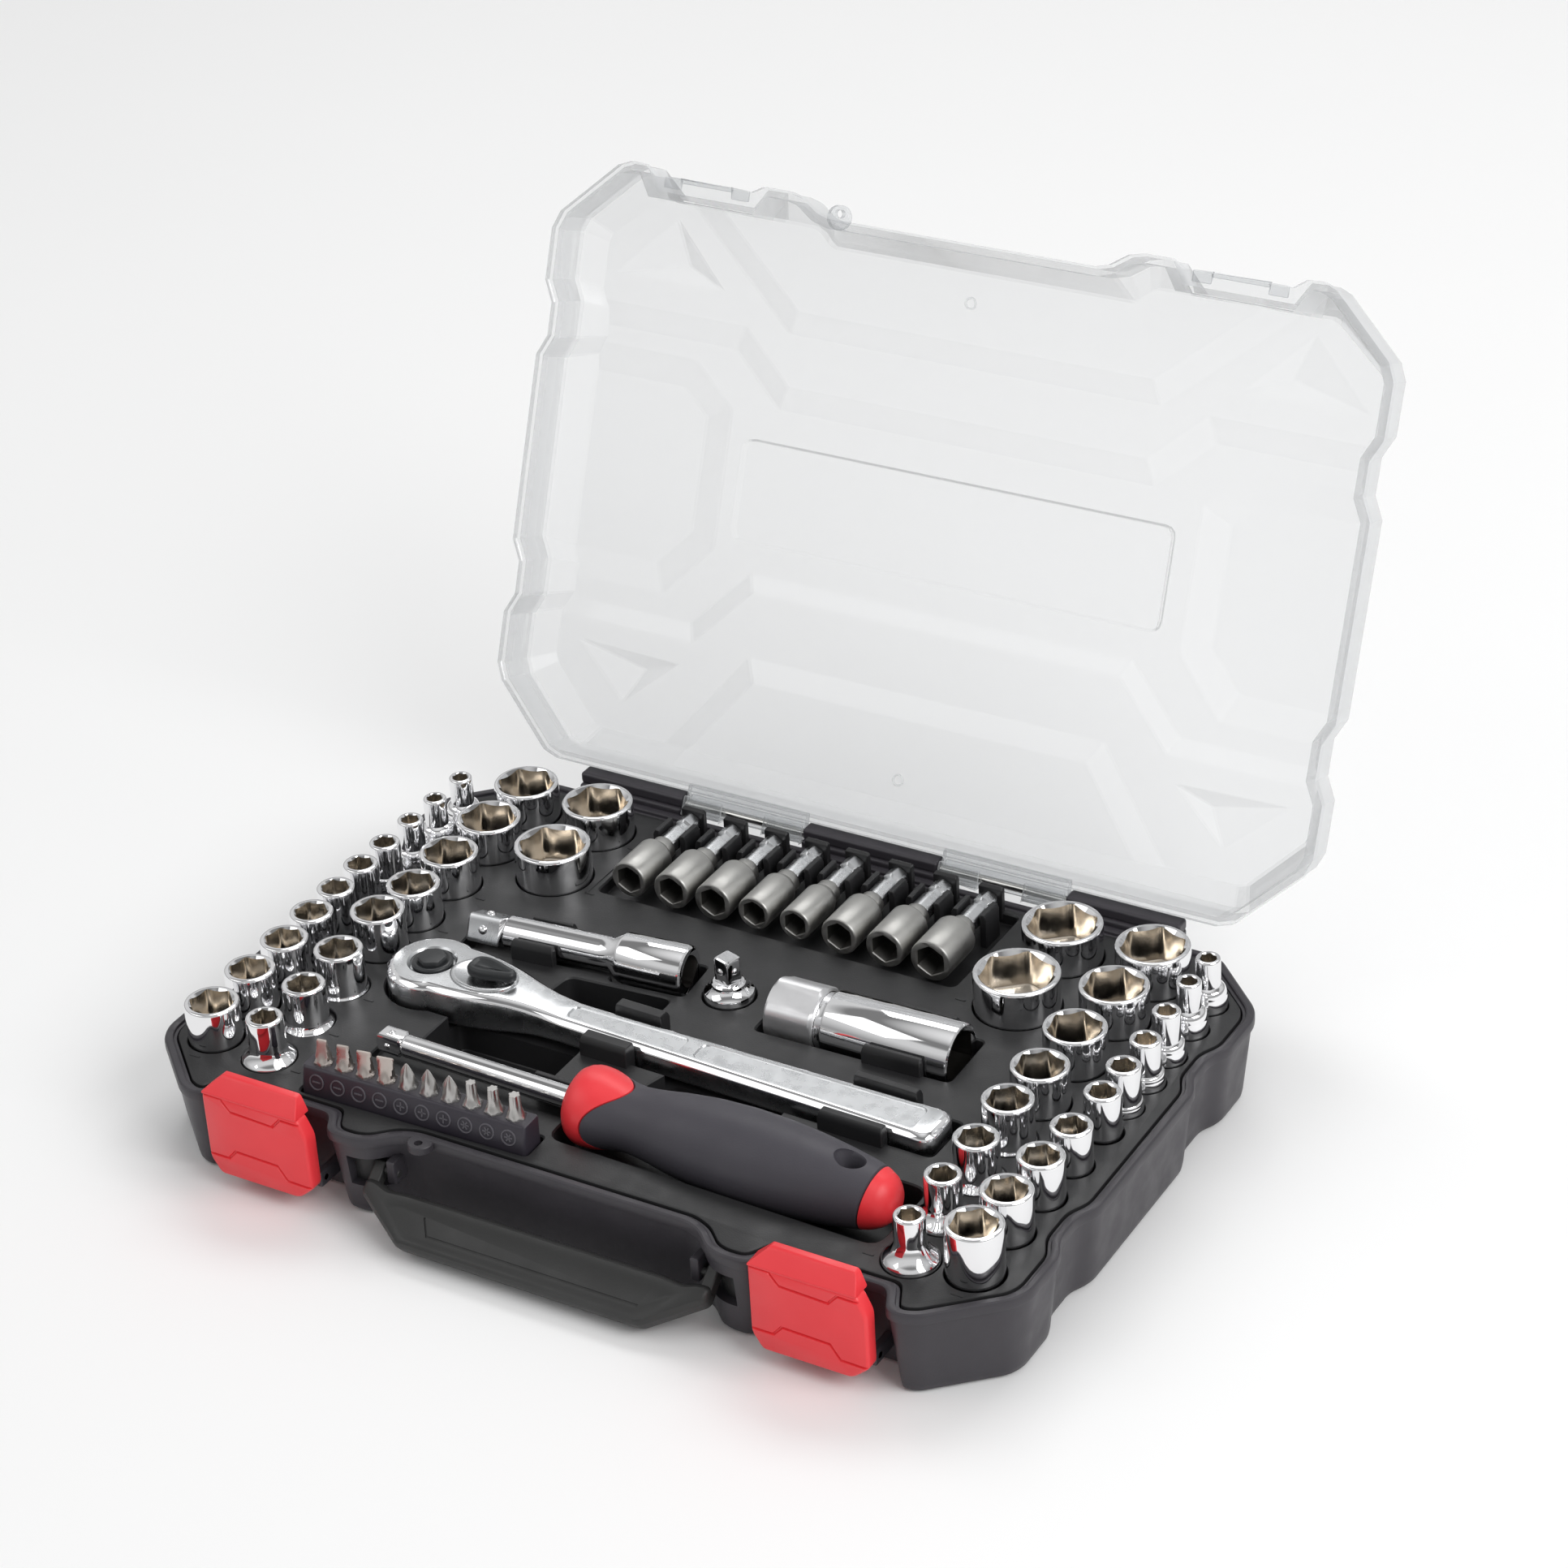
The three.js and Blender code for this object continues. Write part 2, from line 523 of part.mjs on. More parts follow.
function ratchetBody() {
  const length = span(ratchetLine);
  const r = RATCHET.headR;
  const steps = 16;
  const arc = Array.from({ length: steps + 1 }, (_, i) => {
    const a = rad(62 + (236 / steps) * i);
    return vec(r * Math.cos(a), r * Math.sin(a));
  });
  const headPlan = [...arc, vec(24, -11.2), vec(40, -7.2), vec(40, 7.2), vec(24, 11.2)];
  const headSolid = solid(loft([
    { z: -5.4, points: inset(headPlan, 2) },
    { z: -4, points: inset(headPlan, 0.5) },
    { z: 6.4, points: headPlan },
    { z: 7.8, points: inset(headPlan, 1.6) },
  ]));
  const handlePlan = [
    vec(24, -10.8), vec(44, -6.6), vec(100, -7.2), vec(length - 4, -8.6), vec(length - 1, -7.6), vec(length, -4),
    vec(length, 4), vec(length - 1, 7.6), vec(length - 4, 8.6), vec(100, 7.2), vec(44, 6.6), vec(24, 10.8),
  ];
  const handleSolid = solid(loft([
    { z: -4.6, points: inset(handlePlan, 1.8) },
    { z: -2.6, points: handlePlan },
    { z: 3, points: handlePlan },
    { z: 4.6, points: inset(handlePlan, 1.6) },
  ]));
  const boss = prism(circle(1, 20).map((p) => vec(LEVER_X + p.x * 11.6, p.y * 8.6)), 0, 8.6);
  let body = headSolid.add(handleSolid).add(boss);
  body = body.subtract(prism(circle(7.4, 16), 6.4 - BUTTON_TRAVEL - GAP, 9));
  body = body.subtract(prism(circle(4.8, 12), -1.4 - BUTTON_TRAVEL - GAP, 7));
  body = body.subtract(prism(circle(4, 10, LEVER_X), 5.6, 9));
  body = body.subtract(prism(ease(rectangle(112, -4.6, length - 8, 4.6), 1.5), 4.2, 6));
  return body;
}

function reversingLever() {
  const plan = [
    vec(-4.6, -3), vec(-2, -4.4), vec(2, -4.2), vec(11, -1.9), vec(12, 0), vec(11, 1.9), vec(2, 4.2), vec(-2, 4.4),
    vec(-4.6, 3),
  ];
  const blade = loft([
    { z: 9, points: inset(plan, 0.4) },
    { z: 10.8, points: plan },
    { z: 12.6, points: inset(plan, 1) },
  ]);
  return solid(blade).add(turned([[6, 3.6], [9.5, 3.6]], 10));
}

function releaseButton() {
  const cap = turned([[6.4, 6.6], [7.6, 6.6], [8.2, 6]], 16);
  const push = prism(hexagon(8.4), 7, 9.6);
  return cap.add(push).add(turned([[-1.4, 4.3], [6.8, 4.3]], 12));
}

function driveSquare() {
  const collar = turned([[-7.6, 7], [-5.8, 7]], 16);
  const tip = solid(loft([
    { z: -18.4, points: square(8) },
    { z: -17.4, points: square(9.5) },
    { z: -7, points: square(9.5) },
  ]));
  return collar.add(tip);
}

function driverShaft() {
  const tip = prism(square(6.3), 0, 9);
  const rod = turned([[8, 2.8], [9.4, 3.6], [DRIVER.collar + 20, 3.6]], 10);
  return layAlong(tip.add(rod), DRIVER.from, DRIVER.to, DRIVER.z);
}

function driverHandle() {
  const c = DRIVER.collar;
  const length = span(DRIVER);
  const grip = turned([
    [c - 2, 9.2], [c - 1, 11], [c + 4, 12.6], [c + 9, 12], [c + 16, 10.2], [c + 24, 10.6], [c + 40, 13],
    [c + 56, 14], [c + 74, 13.4], [c + 88, 11.8], [c + 98, 10.2], [length - 3, 7.4], [length, 3.2],
  ], 18);
  const bore = turned([[c - 4, 3.9], [c + 20.4, 3.9]], 10);
  const lying = layAlong(grip.subtract(bore), DRIVER.from, DRIVER.to, DRIVER.z);
  const hole = circle(HANGING_HOLE.radius, 12, ...along(DRIVER, length - HANGING_HOLE.fromEnd));
  return lying.subtract(prism(hole, RIM_Z - 20, RIM_Z + 30));
}

function bitRail() {
  const length = span(RAIL);
  const half = RAIL.width / 2;
  const pitch = (length - 4) / BIT_COUNT;
  const body = solid(loft([
    { z: RAIL.bottom, points: plate(RAIL, 0, length, -half, half) },
    { z: RAIL.top - 1, points: plate(RAIL, 0, length, -half, half) },
    { z: RAIL.top, points: plate(RAIL, 1, length - 1, -half + 1, half - 1) },
  ]));
  let rail = body;
  for (let i = 0; i < BIT_COUNT; i++) {
    const [x, y] = along(RAIL, 2 + pitch * (i + 0.5));
    rail = rail.add(solid(loft([
      { z: RAIL.top - 1, points: circle(2.7, 6, x, y) },
      { z: RAIL.top + 2.4, points: circle(2.3, 6, x, y) },
      { z: BIT_TOP, points: circle(1.3, 6, x, y) },
    ])));
  }
  return rail;
}

// ---- tray ---------------------------------------------------------------------------------------------------
function socketTray() {
  const plan = outline(RECESS_Y, POCKET_Y);
  let body = prism(inset(plan, RIM_BAND + GAP), DECK_Z - DECK_THICK, DECK_Z);
  const wells = [
    ...wellsOf(QUARTER_SOCKETS, QUARTER_LENGTH, QUARTER_BASE),
    ...wellsOf(THREE_EIGHTH_SOCKETS, THREE_EIGHTH_LENGTH, THREE_EIGHTH_BASE),
    ...SPARE_WELLS.map(([x, y, rise]) => (
      { x, y, radius: QUARTER_BASE / 2 + 0.6, floor: RIM_Z + rise - QUARTER_LENGTH - GAP }
    )),
    { x: ADAPTER.x, y: ADAPTER.y, radius: ADAPTER.radius + 0.7, floor: RIM_Z - 13.4 - GAP },
  ];
  // Each recess: plan outline and floor height.
  const extLength = span(EXTENSION);
  const ratLength = span(ratchetLine);
  const drvLength = span(DRIVER);
  const recesses = [
    [plate(EXTENSION, -1.5, 20, -7, 7), RIM_Z - 7],
    [plate(EXTENSION, 20, extLength - 24, -6.4, 6.4), RIM_Z - 7],
    [plate(EXTENSION, extLength - 24.4, extLength + 2, -9, 9), RIM_Z - 7],
    [plate(SPARK, -2, span(SPARK) + 2, -12, 12), RIM_Z - 12],
    [circle(RATCHET.headR + 1, 20, ...RATCHET.head), RIM_Z - 6],
    [circle(8, 14, ...RATCHET.head), RIM_Z - 19.4],
    [plate(ratchetLine, 2, 26, -13.8, 13.8), RIM_Z - 6],
    [plate(ratchetLine, 25, 44, -11.4, 11.4), RIM_Z - 6],
    [plate(ratchetLine, 30, ratLength + 1.4, -9.6, 9.6), RIM_Z - 6],
    [plate(DRIVER, -2, DRIVER.collar, -4.6, 4.6), RIM_Z - 3],
    [plate(DRIVER, DRIVER.collar - 3, drvLength + 1.6, -14.8, 14.8), RIM_Z - 12],
    [plate(RAIL, -0.6, span(RAIL) + 0.6, -RAIL.width / 2 - 0.6, RAIL.width / 2 + 0.6), RAIL.bottom - GAP],
    [rectangle(...NUT_RECESS), RIM_Z - NUT_RECESS_DEPTH],
    ...FINGER_POCKETS.map((corners) => [corners.map(([x, y]) => vec(x, y)), RIM_Z - FINGER_DEPTH]),
  ];
  for (const { x, y, radius, floor } of wells) {
    body = body.add(prism(circle(radius + CUP_WALL + 0.4, 8, x, y), floor - CUP_WALL, DECK_Z - 0.1));
  }
  for (const [points, floor] of recesses) {
    body = body.add(prism(inset(points, -CUP_WALL), floor - CUP_WALL, DECK_Z - 0.1));
  }
  body = body.intersect(solid(loft([
    { z: FLOOR + GAP, points: inset(plan, DRAFT + WALL + GAP) },
    { z: RIM_Z - 4, points: inset(plan, RIM_BAND + GAP) },
    { z: RIM_Z + 1, points: inset(plan, RIM_BAND + GAP) },
  ])));
  for (const { x, y, radius, floor } of wells) {
    body = body.subtract(prism(circle(radius, radius > 10 ? 16 : 12, x, y), floor, RIM_Z + 1));
  }
  for (const [points, floor] of recesses) {
    body = body.subtract(prism(points, floor, RIM_Z + 1));
  }
  // Spring fingers in pairs either side of a tool: tool, start, stop, half width, height above the tray.
  const fingers = [
    [EXTENSION, 16, 31, 6.9, 5.4], [ratchetLine, 62, 79, 9.9, 5.6], [ratchetLine, 146, 168, 9.9, 5.6],
    [SPARK, 34, 54, 11.4, 5],
  ];
  for (const [tool, start, stop, half, rise] of fingers) {
    for (const side of [-1, 1]) {
      const [a, b] = [side * half, side * (half + 2.6)];
      const foot = plate(tool, start, stop, Math.min(a, b), Math.max(a, b));
      body = body.add(prism(foot, DECK_Z - 4, RIM_Z + rise));
    }
  }
  for (const [x] of NUT_SETTERS) {
    for (const side of [-1, 1]) {
      const edge = x + side * 5.1;
      body = body.add(box(edge - 1.2, edge + 1.2, 79.5, 88.5, RIM_Z - 5, NUT_Z + 3.4));
    }
    body = body.add(box(x - 4.2, x + 4.2, 94.2, 96, RIM_Z - 3, NUT_Z + 4.4));
  }
  return body;
}

// ---- assembly -----------------------------------------------------------------------------------------------
add('case_base', caseBase(), CASE_BLACK);
add('socket_tray', socketTray(), TRAY_BLACK);
add('lid', lid(), CLEAR);
add('latch_left', latch(-1), LATCH_RED);
add('latch_right', latch(1), LATCH_RED);
add('carry_handle', carryHandle(), HANDLE_GREY);

const ratchet = new THREE.Group();
ratchet.name = 'ratchet';
ratchet.position.set(...RATCHET.head, RATCHET.z);
ratchet.rotation.z = Math.atan2(RATCHET.end[1] - RATCHET.head[1], RATCHET.end[0] - RATCHET.head[0]);
group.add(ratchet);
add('ratchet_body', ratchetBody(), SATIN_CHROME, ratchet);
const lever = add('reversing_lever', reversingLever(), LEVER_BLACK, ratchet);
lever.position.x = LEVER_X;
add('release_button', releaseButton(), LEVER_BLACK, ratchet);
add('drive_square', driveSquare(), SATIN_CHROME, ratchet);

add('driver_handle', driverHandle(), GRIP_CHARCOAL);
add('driver_shaft', driverShaft(), CHROME);
add('extension_bar', extensionBar(), CHROME);
add('drive_adapter', driveAdapter(), CHROME);
add('spark_plug_socket', sparkPlugSocket(), CHROME);
add('bit_rail', bitRail(), BIT_STEEL);
NUT_SETTERS.forEach((row, i) => add(`nut_setter_${i + 1}`, nutSetter(row), SATIN_GREY));
placeSockets(QUARTER_SOCKETS, 'quarter', QUARTER_LENGTH, QUARTER_BASE, QUARTER);
placeSockets(THREE_EIGHTH_SOCKETS, 'three_eighth', THREE_EIGHTH_LENGTH, THREE_EIGHTH_BASE, THREE_EIGHTH);

export default group;
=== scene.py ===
"""Looks of a socket wrench set in its case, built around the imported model.

Lengths are millimetres in the CAD frame (+Z up, -Y the front), and Shape.finish turns them into metres.
Only the floor and the lights are placed in metres.
"""

import math

import bmesh
import bpy
from mathutils import Matrix, Vector
from mathutils.geometry import delaunay_2d_cdt


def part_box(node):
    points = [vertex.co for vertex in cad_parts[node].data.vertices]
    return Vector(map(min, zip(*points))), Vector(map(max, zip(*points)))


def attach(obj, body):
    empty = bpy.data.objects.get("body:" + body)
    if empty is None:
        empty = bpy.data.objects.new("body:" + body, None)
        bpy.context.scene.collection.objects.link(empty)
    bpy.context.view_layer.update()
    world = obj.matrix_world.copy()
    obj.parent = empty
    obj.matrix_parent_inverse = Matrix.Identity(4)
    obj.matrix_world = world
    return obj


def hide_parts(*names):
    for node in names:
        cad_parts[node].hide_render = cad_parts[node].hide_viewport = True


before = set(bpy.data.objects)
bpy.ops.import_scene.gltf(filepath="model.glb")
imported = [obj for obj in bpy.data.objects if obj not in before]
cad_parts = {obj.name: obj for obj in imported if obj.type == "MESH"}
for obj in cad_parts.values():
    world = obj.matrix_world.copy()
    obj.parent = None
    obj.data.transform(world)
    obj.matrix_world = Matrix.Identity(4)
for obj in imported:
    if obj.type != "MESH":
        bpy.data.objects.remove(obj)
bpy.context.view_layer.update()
MM = 0.001
SEGMENTS = 48
WELD_REACH = 0.004
BEVEL_ANGLE = math.radians(35)


def box_mm(node):
    low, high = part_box(node)
    return low / MM, high / MM


# ---- sizes, from the frame and a few driving dimensions --
HALF = box_mm("case_base")[1].x
RIM = 30.0
FRONT, BACK = -100.0, 101.5
CORNER = 125.0
SIDE = 77.0
RECESS, POCKET = -89.5, -90.5
DIP = 3.5
DRAFT = 3.4
DECK = RIM - 0.4
LID_BASE = RIM + 0.4
LID_POCKET, LID_LEDGE = -92.6, -96.6
LID_WALL = 2.0
HINGE = Vector((0, 105.9, 32.2))
OPEN_ANGLE = math.radians(111.6)
HINGE_RAILS = ((-111, -71), (-25, 25), (71, 111))
LID_KNUCKLES = ((-70.6, -25.4), (25.4, 70.6))
LATCH_X, LATCH_HALF = 95.0, 19.0
HANDLE_AXIS = Vector((0, -93, 17.2))
HANDLE_HANG = math.radians(40)
HANDLE_EAR_X, LATCH_EAR_REACH = 52.7, 16.7
HANDLE_GAP = (49.4, 67)
SOCKET_TURN_LEFT, SOCKET_TURN_RIGHT = math.radians(-12), math.radians(10)
EYELET_X = -44.0
QUARTER_DRIVE, THREE_EIGHTH_DRIVE = 6.45, 9.6
NUT_SETTERS, BITS = 8, 10
FIRST_CROSS, FIRST_STAR = 4, 7


# ---- materials -------------------------------------------
class Look:
    """A Principled material with helpers that add procedural detail."""

    def __init__(self, name, color, roughness, metallic=0.0, **sockets):
        self.material = bpy.data.materials.new(name)
        self.material.use_nodes = True
        self.tree = self.material.node_tree
        self.shader = self.tree.nodes["Principled BSDF"]
        self.color = color
        self.shader.inputs["Base Color"].default_value = (*color, 1)
        self.shader.inputs["Roughness"].default_value = roughness
        self.shader.inputs["Metallic"].default_value = metallic
        for socket, value in sockets.items():
            self.shader.inputs[socket.replace("_", " ")].default_value = value
        self.place = self.node("ShaderNodeTexCoord").outputs["Object"]
        self.normal = None

    def node(self, kind, **settings):
        made = self.tree.nodes.new(kind)
        for key, value in settings.items():
            setattr(made, key, value)
        return made

    def link(self, source, target):
        self.tree.links.new(source, target)

    def noise(self, size_mm, detail=3.0, stretch=(1, 1, 1)):
        mapping = self.node("ShaderNodeMapping")
        mapping.inputs["Scale"].default_value = stretch
        texture = self.node("ShaderNodeTexNoise")
        texture.inputs["Scale"].default_value = 1 / (size_mm * MM)
        texture.inputs["Detail"].default_value = detail
        self.link(self.place, mapping.inputs["Vector"])
        self.link(mapping.outputs["Vector"], texture.inputs["Vector"])
        return texture.outputs["Fac"]

    def between(self, value, low, high, start=0.3, stop=0.7):
        spread = self.node("ShaderNodeMapRange")
        for key, number in (("From Min", start), ("From Max", stop), ("To Min", low), ("To Max", high)):
            spread.inputs[key].default_value = number
        self.link(value, spread.inputs["Value"])
        return spread.outputs["Result"]

    def vary_roughness(self, size_mm, low, high, stretch=(1, 1, 1)):
        self.link(self.between(self.noise(size_mm, 4, stretch), low, high), self.shader.inputs["Roughness"])
        return self

    def vary_color(self, other, size_mm, amount=1.0, stretch=(1, 1, 1)):
        mix = self.node("ShaderNodeMix", data_type="RGBA")
        mix.inputs["A"].default_value = (*self.color, 1)
        mix.inputs["B"].default_value = (*other, 1)
        self.link(self.between(self.noise(size_mm, 5, stretch), 0, amount), mix.inputs["Factor"])
        self.link(mix.outputs["Result"], self.shader.inputs["Base Color"])
        return self

    def bump(self, size_mm, height_mm, strength=1.0, detail=2.0, stretch=(1, 1, 1)):
        bump = self.node("ShaderNodeBump")
        bump.inputs["Strength"].default_value = strength
        bump.inputs["Distance"].default_value = height_mm * MM
        self.link(self.noise(size_mm, detail, stretch), bump.inputs["Height"])
        if self.normal:
            self.link(self.normal, bump.inputs["Normal"])
        self.normal = bump.outputs["Normal"]
        self.link(self.normal, self.shader.inputs["Normal"])
        return self


def moulded_plastic(name, color, other, roughness, grain=0.05):
    look = Look(name, color, roughness, Specular_IOR_Level=0.45)
    look.vary_color(other, 26, 0.8).vary_roughness(9, roughness - 0.06, roughness + 0.08)
    return look.bump(0.5, grain, 0.55, 3).bump(14, 0.05, 0.3).material


def polished_metal(name, color, roughness, wave=0.05):
    look = Look(name, color, roughness, 1.0)
    look.vary_roughness(3, roughness * 0.8, roughness * 1.5)
    return look.bump(8, wave, 0.12, 1).material


def satin_metal(name, color, other, roughness, grain=0.03):
    look = Look(name, color, roughness, 1.0)
    look.vary_color(other, 7, 0.7).vary_roughness(5, roughness - 0.05, roughness + 0.07)
    return look.bump(9, grain, 0.12).material


CASE = moulded_plastic("case_plastic", (0.037, 0.034, 0.04), (0.045, 0.041, 0.049), 0.42)
TRAY = moulded_plastic("tray_plastic", (0.016, 0.016, 0.017), (0.021, 0.021, 0.022), 0.44, 0.07)
CLIP = moulded_plastic("clip_plastic", (0.012, 0.012, 0.013), (0.02, 0.02, 0.021), 0.4)
HANDLE = moulded_plastic("handle_plastic", (0.025, 0.0252, 0.0248), (0.031, 0.0312, 0.0308), 0.46)
RAIL_BLACK = moulded_plastic("rail_plastic", (0.03, 0.026, 0.036), (0.04, 0.036, 0.046), 0.4)
LEVER = moulded_plastic("lever_black", (0.02, 0.022, 0.024), (0.03, 0.032, 0.034), 0.38)
RED = moulded_plastic("latch_red_plastic", (0.8, 0.035, 0.045), (0.86, 0.05, 0.06), 0.34, 0.03)
CHROME = polished_metal("mirror_chrome", (0.86, 0.86, 0.87), 0.05)
BROACH = satin_metal("nickel_broach", (0.84, 0.79, 0.72), (0.8, 0.75, 0.68), 0.19, 0.02)
# Near-black steel for the inside of deep holes and drive squares: painted shade where little light reaches.
# On the nut setters' bore floor it is partly the magnet's own dark tone and partly painted shade.
HOLE_SHADE = Look("painted_hole_shade", (0.02, 0.018, 0.016), 0.5, 0.6).vary_roughness(2, 0.4, 0.6).material
SATIN = satin_metal("satin_chrome", (0.64, 0.65, 0.66), (0.55, 0.56, 0.57), 0.27)
FROSTED = satin_metal("frosted_chrome", (0.82, 0.82, 0.83), (0.74, 0.74, 0.75), 0.42)
SETTER = satin_metal("nut_setter_grey", (0.5, 0.495, 0.475), (0.42, 0.415, 0.4), 0.4)
# A darker copy of the nut setter steel for the walls of its bore: painted shade inside the bore.
BORE_SHADE = satin_metal("nut_setter_bore_shade", (0.17, 0.165, 0.155), (0.12, 0.117, 0.11), 0.45)
BIT = satin_metal("bit_steel", (0.5, 0.49, 0.475), (0.4, 0.39, 0.38), 0.3)
BLADE = satin_metal("slotted_bit_steel", (0.56, 0.5, 0.46), (0.46, 0.42, 0.39), 0.3)
GRIP = moulded_plastic("grip_soft", (0.05, 0.047, 0.058), (0.06, 0.056, 0.068), 0.5, 0.06)
ICON = moulded_plastic("icon_plastic", (0.1, 0.095, 0.11), (0.12, 0.115, 0.13), 0.5)
PIN = polished_metal("pin_steel", (0.6, 0.6, 0.58), 0.18)


def clear_plastic(name, tint, through, covers, roughness):
    """See-through plastic: the more edge on it is seen, the more of its own grey and gloss shows."""
    look = Look(name, tint, 0.4, Specular_IOR_Level=0.2)
    look.vary_roughness(30, 0.35, 0.5).bump(60, 0.08, 0.15)
    weight = look.node("ShaderNodeLayerWeight")
    weight.inputs["Blend"].default_value = 0.5
    cover = look.between(weight.outputs["Facing"], *covers, 0.02, 0.85)
    clear = look.node("ShaderNodeBsdfTransparent")
    clear.inputs["Color"].default_value = (*through, 1)
    gloss = look.node("ShaderNodeBsdfAnisotropic")
    gloss.inputs["Roughness"].default_value = roughness
    look.link(look.normal, gloss.inputs["Normal"])
    shine = look.node("ShaderNodeFresnel")
    shine.inputs["IOR"].default_value = 1.4
    body, coat = look.node("ShaderNodeMixShader"), look.node("ShaderNodeMixShader")
    look.link(cover, body.inputs["Fac"])
    look.link(clear.outputs["BSDF"], body.inputs[1])
    look.link(look.shader.outputs["BSDF"], body.inputs[2])
    look.link(look.between(shine.outputs["Fac"], 0, 0.4, 0, 1), coat.inputs["Fac"])
    look.link(body.outputs["Shader"], coat.inputs[1])
    look.link(gloss.outputs["BSDF"], coat.inputs[2])
    look.link(coat.outputs["Shader"], look.tree.nodes["Material Output"].inputs["Surface"])
    return look.material


CLEAR = clear_plastic("clear_lid_plastic", (0.84, 0.85, 0.86), (0.965, 0.968, 0.97), (0.03, 0.5), 0.12)
CLEAR_EDGE = clear_plastic("clear_lid_edge", (0.74, 0.76, 0.77), (0.95, 0.955, 0.96), (0.06, 0.6), 0.12)


# ---- mesh building ---------------------------------------
class Shape:
    """Collects rings of points and the faces between them, in millimetres."""

    def __init__(self):
        self.points = []
        self.faces = []
        self.look_of = []

    def ring(self, points):
        start = len(self.points)
        self.points.extend(Vector(p) for p in points)
        return list(range(start, len(self.points)))

    def face(self, corners, look=0):
        self.faces.append(list(corners))
        self.look_of.append(look)

    def skin(self, a, b, look=0):
        for i in range(len(a)):
            j = (i + 1) % len(a)
            self.face((a[i], a[j], b[j], b[i]), look)

    def loft(self, rings, look=0, ends=True):
        made = [self.ring(points) for points in rings]
        for a, b in zip(made, made[1:]):
            self.skin(a, b, look)
        if ends:
            self.face(reversed(made[0]), look)
            self.face(made[-1], look)
        return made

    def turn(self, profile, segments=SEGMENTS):
        """A turned body about Z from (height, radius) rows."""
        self.loft([circle(radius, z, segments=segments) for z, radius in profile])

    def tube(self, rings):
        """A loft whose last ring meets its first again."""
        made = self.loft(rings, ends=False)
        self.skin(made[-1], made[0])

    def stack(self, rows, first=None, last=None):
        """A loft of (ring, look of the skin before it) rows. An end is closed where its look is given."""
        rings = [self.ring(points) for points, _ in rows]
        for a, b, (_, look) in zip(rings, rings[1:], rows[1:]):
            self.skin(a, b, look)
        if first is not None:
            self.face(rings[0], first)
        if last is not None:
            self.face(rings[-1], last)
        return rings

    def finish(self, name, body, looks, matrix=None, bevel=0.0, segments=2, angle=32, smooth=True):
        mesh = bpy.data.meshes.new(name)
        place = matrix or Matrix.Identity(4)
        mesh.from_pydata([(place @ p) * MM for p in self.points], [], self.faces)
        for look in looks:
            mesh.materials.append(look)
        mesh.polygons.foreach_set("material_index", self.look_of)
        made = bpy.data.objects.new(name, mesh)
        bpy.context.scene.collection.objects.link(made)
        weld(mesh)
        if smooth:
            shade(mesh, angle)
        if bevel:
            add_bevel(made, bevel, segments)
        if body:
            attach(made, body)
        return made


def weld(mesh):
    work = bmesh.new()
    work.from_mesh(mesh)
    bmesh.ops.remove_doubles(work, verts=work.verts, dist=WELD_REACH * MM)
    loose = [vert for vert in work.verts if not vert.link_faces]
    bmesh.ops.delete(work, geom=loose, context="VERTS")
    bmesh.ops.recalc_face_normals(work, faces=work.faces)
    if work.calc_volume(signed=True) < 0:
        bmesh.ops.reverse_faces(work, faces=work.faces)
    work.to_mesh(mesh)
    work.free()


def shade(mesh, angle=32):
    mesh.polygons.foreach_set("use_smooth", [True] * len(mesh.polygons))
    mesh.set_sharp_from_angle(angle=math.radians(angle))


def add_bevel(made, width, segments):
    bevel = made.modifiers.new("soft_edges", "BEVEL")
    bevel.width = width * MM
    bevel.segments = segments
    bevel.limit_method = "ANGLE"
    bevel.angle_limit = BEVEL_ANGLE
    bevel.use_clamp_overlap = True
    bevel.harden_normals = True


def cut(made, cutters):
    """Cuts the cutters' closed shapes out of a piece, then removes them."""
    for cutter in cutters:
        boolean = made.modifiers.new("cut", "BOOLEAN")
        boolean.operation = "DIFFERENCE"
        boolean.solver = "EXACT"
        boolean.object = cutter
    bpy.context.view_layer.update()
    ready = made.evaluated_get(bpy.context.evaluated_depsgraph_get())
    mesh = bpy.data.meshes.new_from_object(ready)
    made.modifiers.clear()
    made.data = mesh
    weld(mesh)
    shade(mesh)
    for cutter in cutters:
        bpy.data.objects.remove(cutter)
    return made


def angles(count):
    return [2 * math.pi * i / count for i in range(count)]


def circle(radius, z=0.0, x=0.0, y=0.0, segments=SEGMENTS):
    return [(x + radius * math.cos(a), y + radius * math.sin(a), z) for a in angles(segments)]


def polygon(sides, flats, z, turn, blunt):
    """A ring on a regular polygon with slightly blunted corners, with as many points as a circle."""
    half = math.pi / sides
    points = []
    for a in angles(SEGMENTS):
        local = (a + half) % (2 * half) - half
        radius = min(flats / 2 / math.cos(local), flats / 2 / math.cos(half) * blunt)
        points.append((radius * math.cos(a + turn), radius * math.sin(a + turn), z))
    return points


def hexagon(flats, z=0.0, turn=0.0, blunt=1.0):
    return polygon(6, flats, z, turn, blunt)


def square(flats, z=0.0, turn=0.0, blunt=0.93):
    return polygon(4, flats, z, turn, blunt)


def mitre(before, after, distance):
    """The move of a corner when its two edges, given as unit directions, both shift to their left."""
    n1, n2 = Vector((-before.y, before.x)), Vector((-after.y, after.x))
    return (n1 + n2) * distance / (1 + n1.dot(n2))


def inset(points, distance):
    """Moves every edge of a counter-clockwise plan outline inwards by the same distance."""
    moved = []
    for i, p in enumerate(points):
        before = (p - points[i - 1]).normalized()
        after = (points[(i + 1) % len(points)] - p).normalized()
        moved.append(p + mitre(before, after, distance))
    return moved


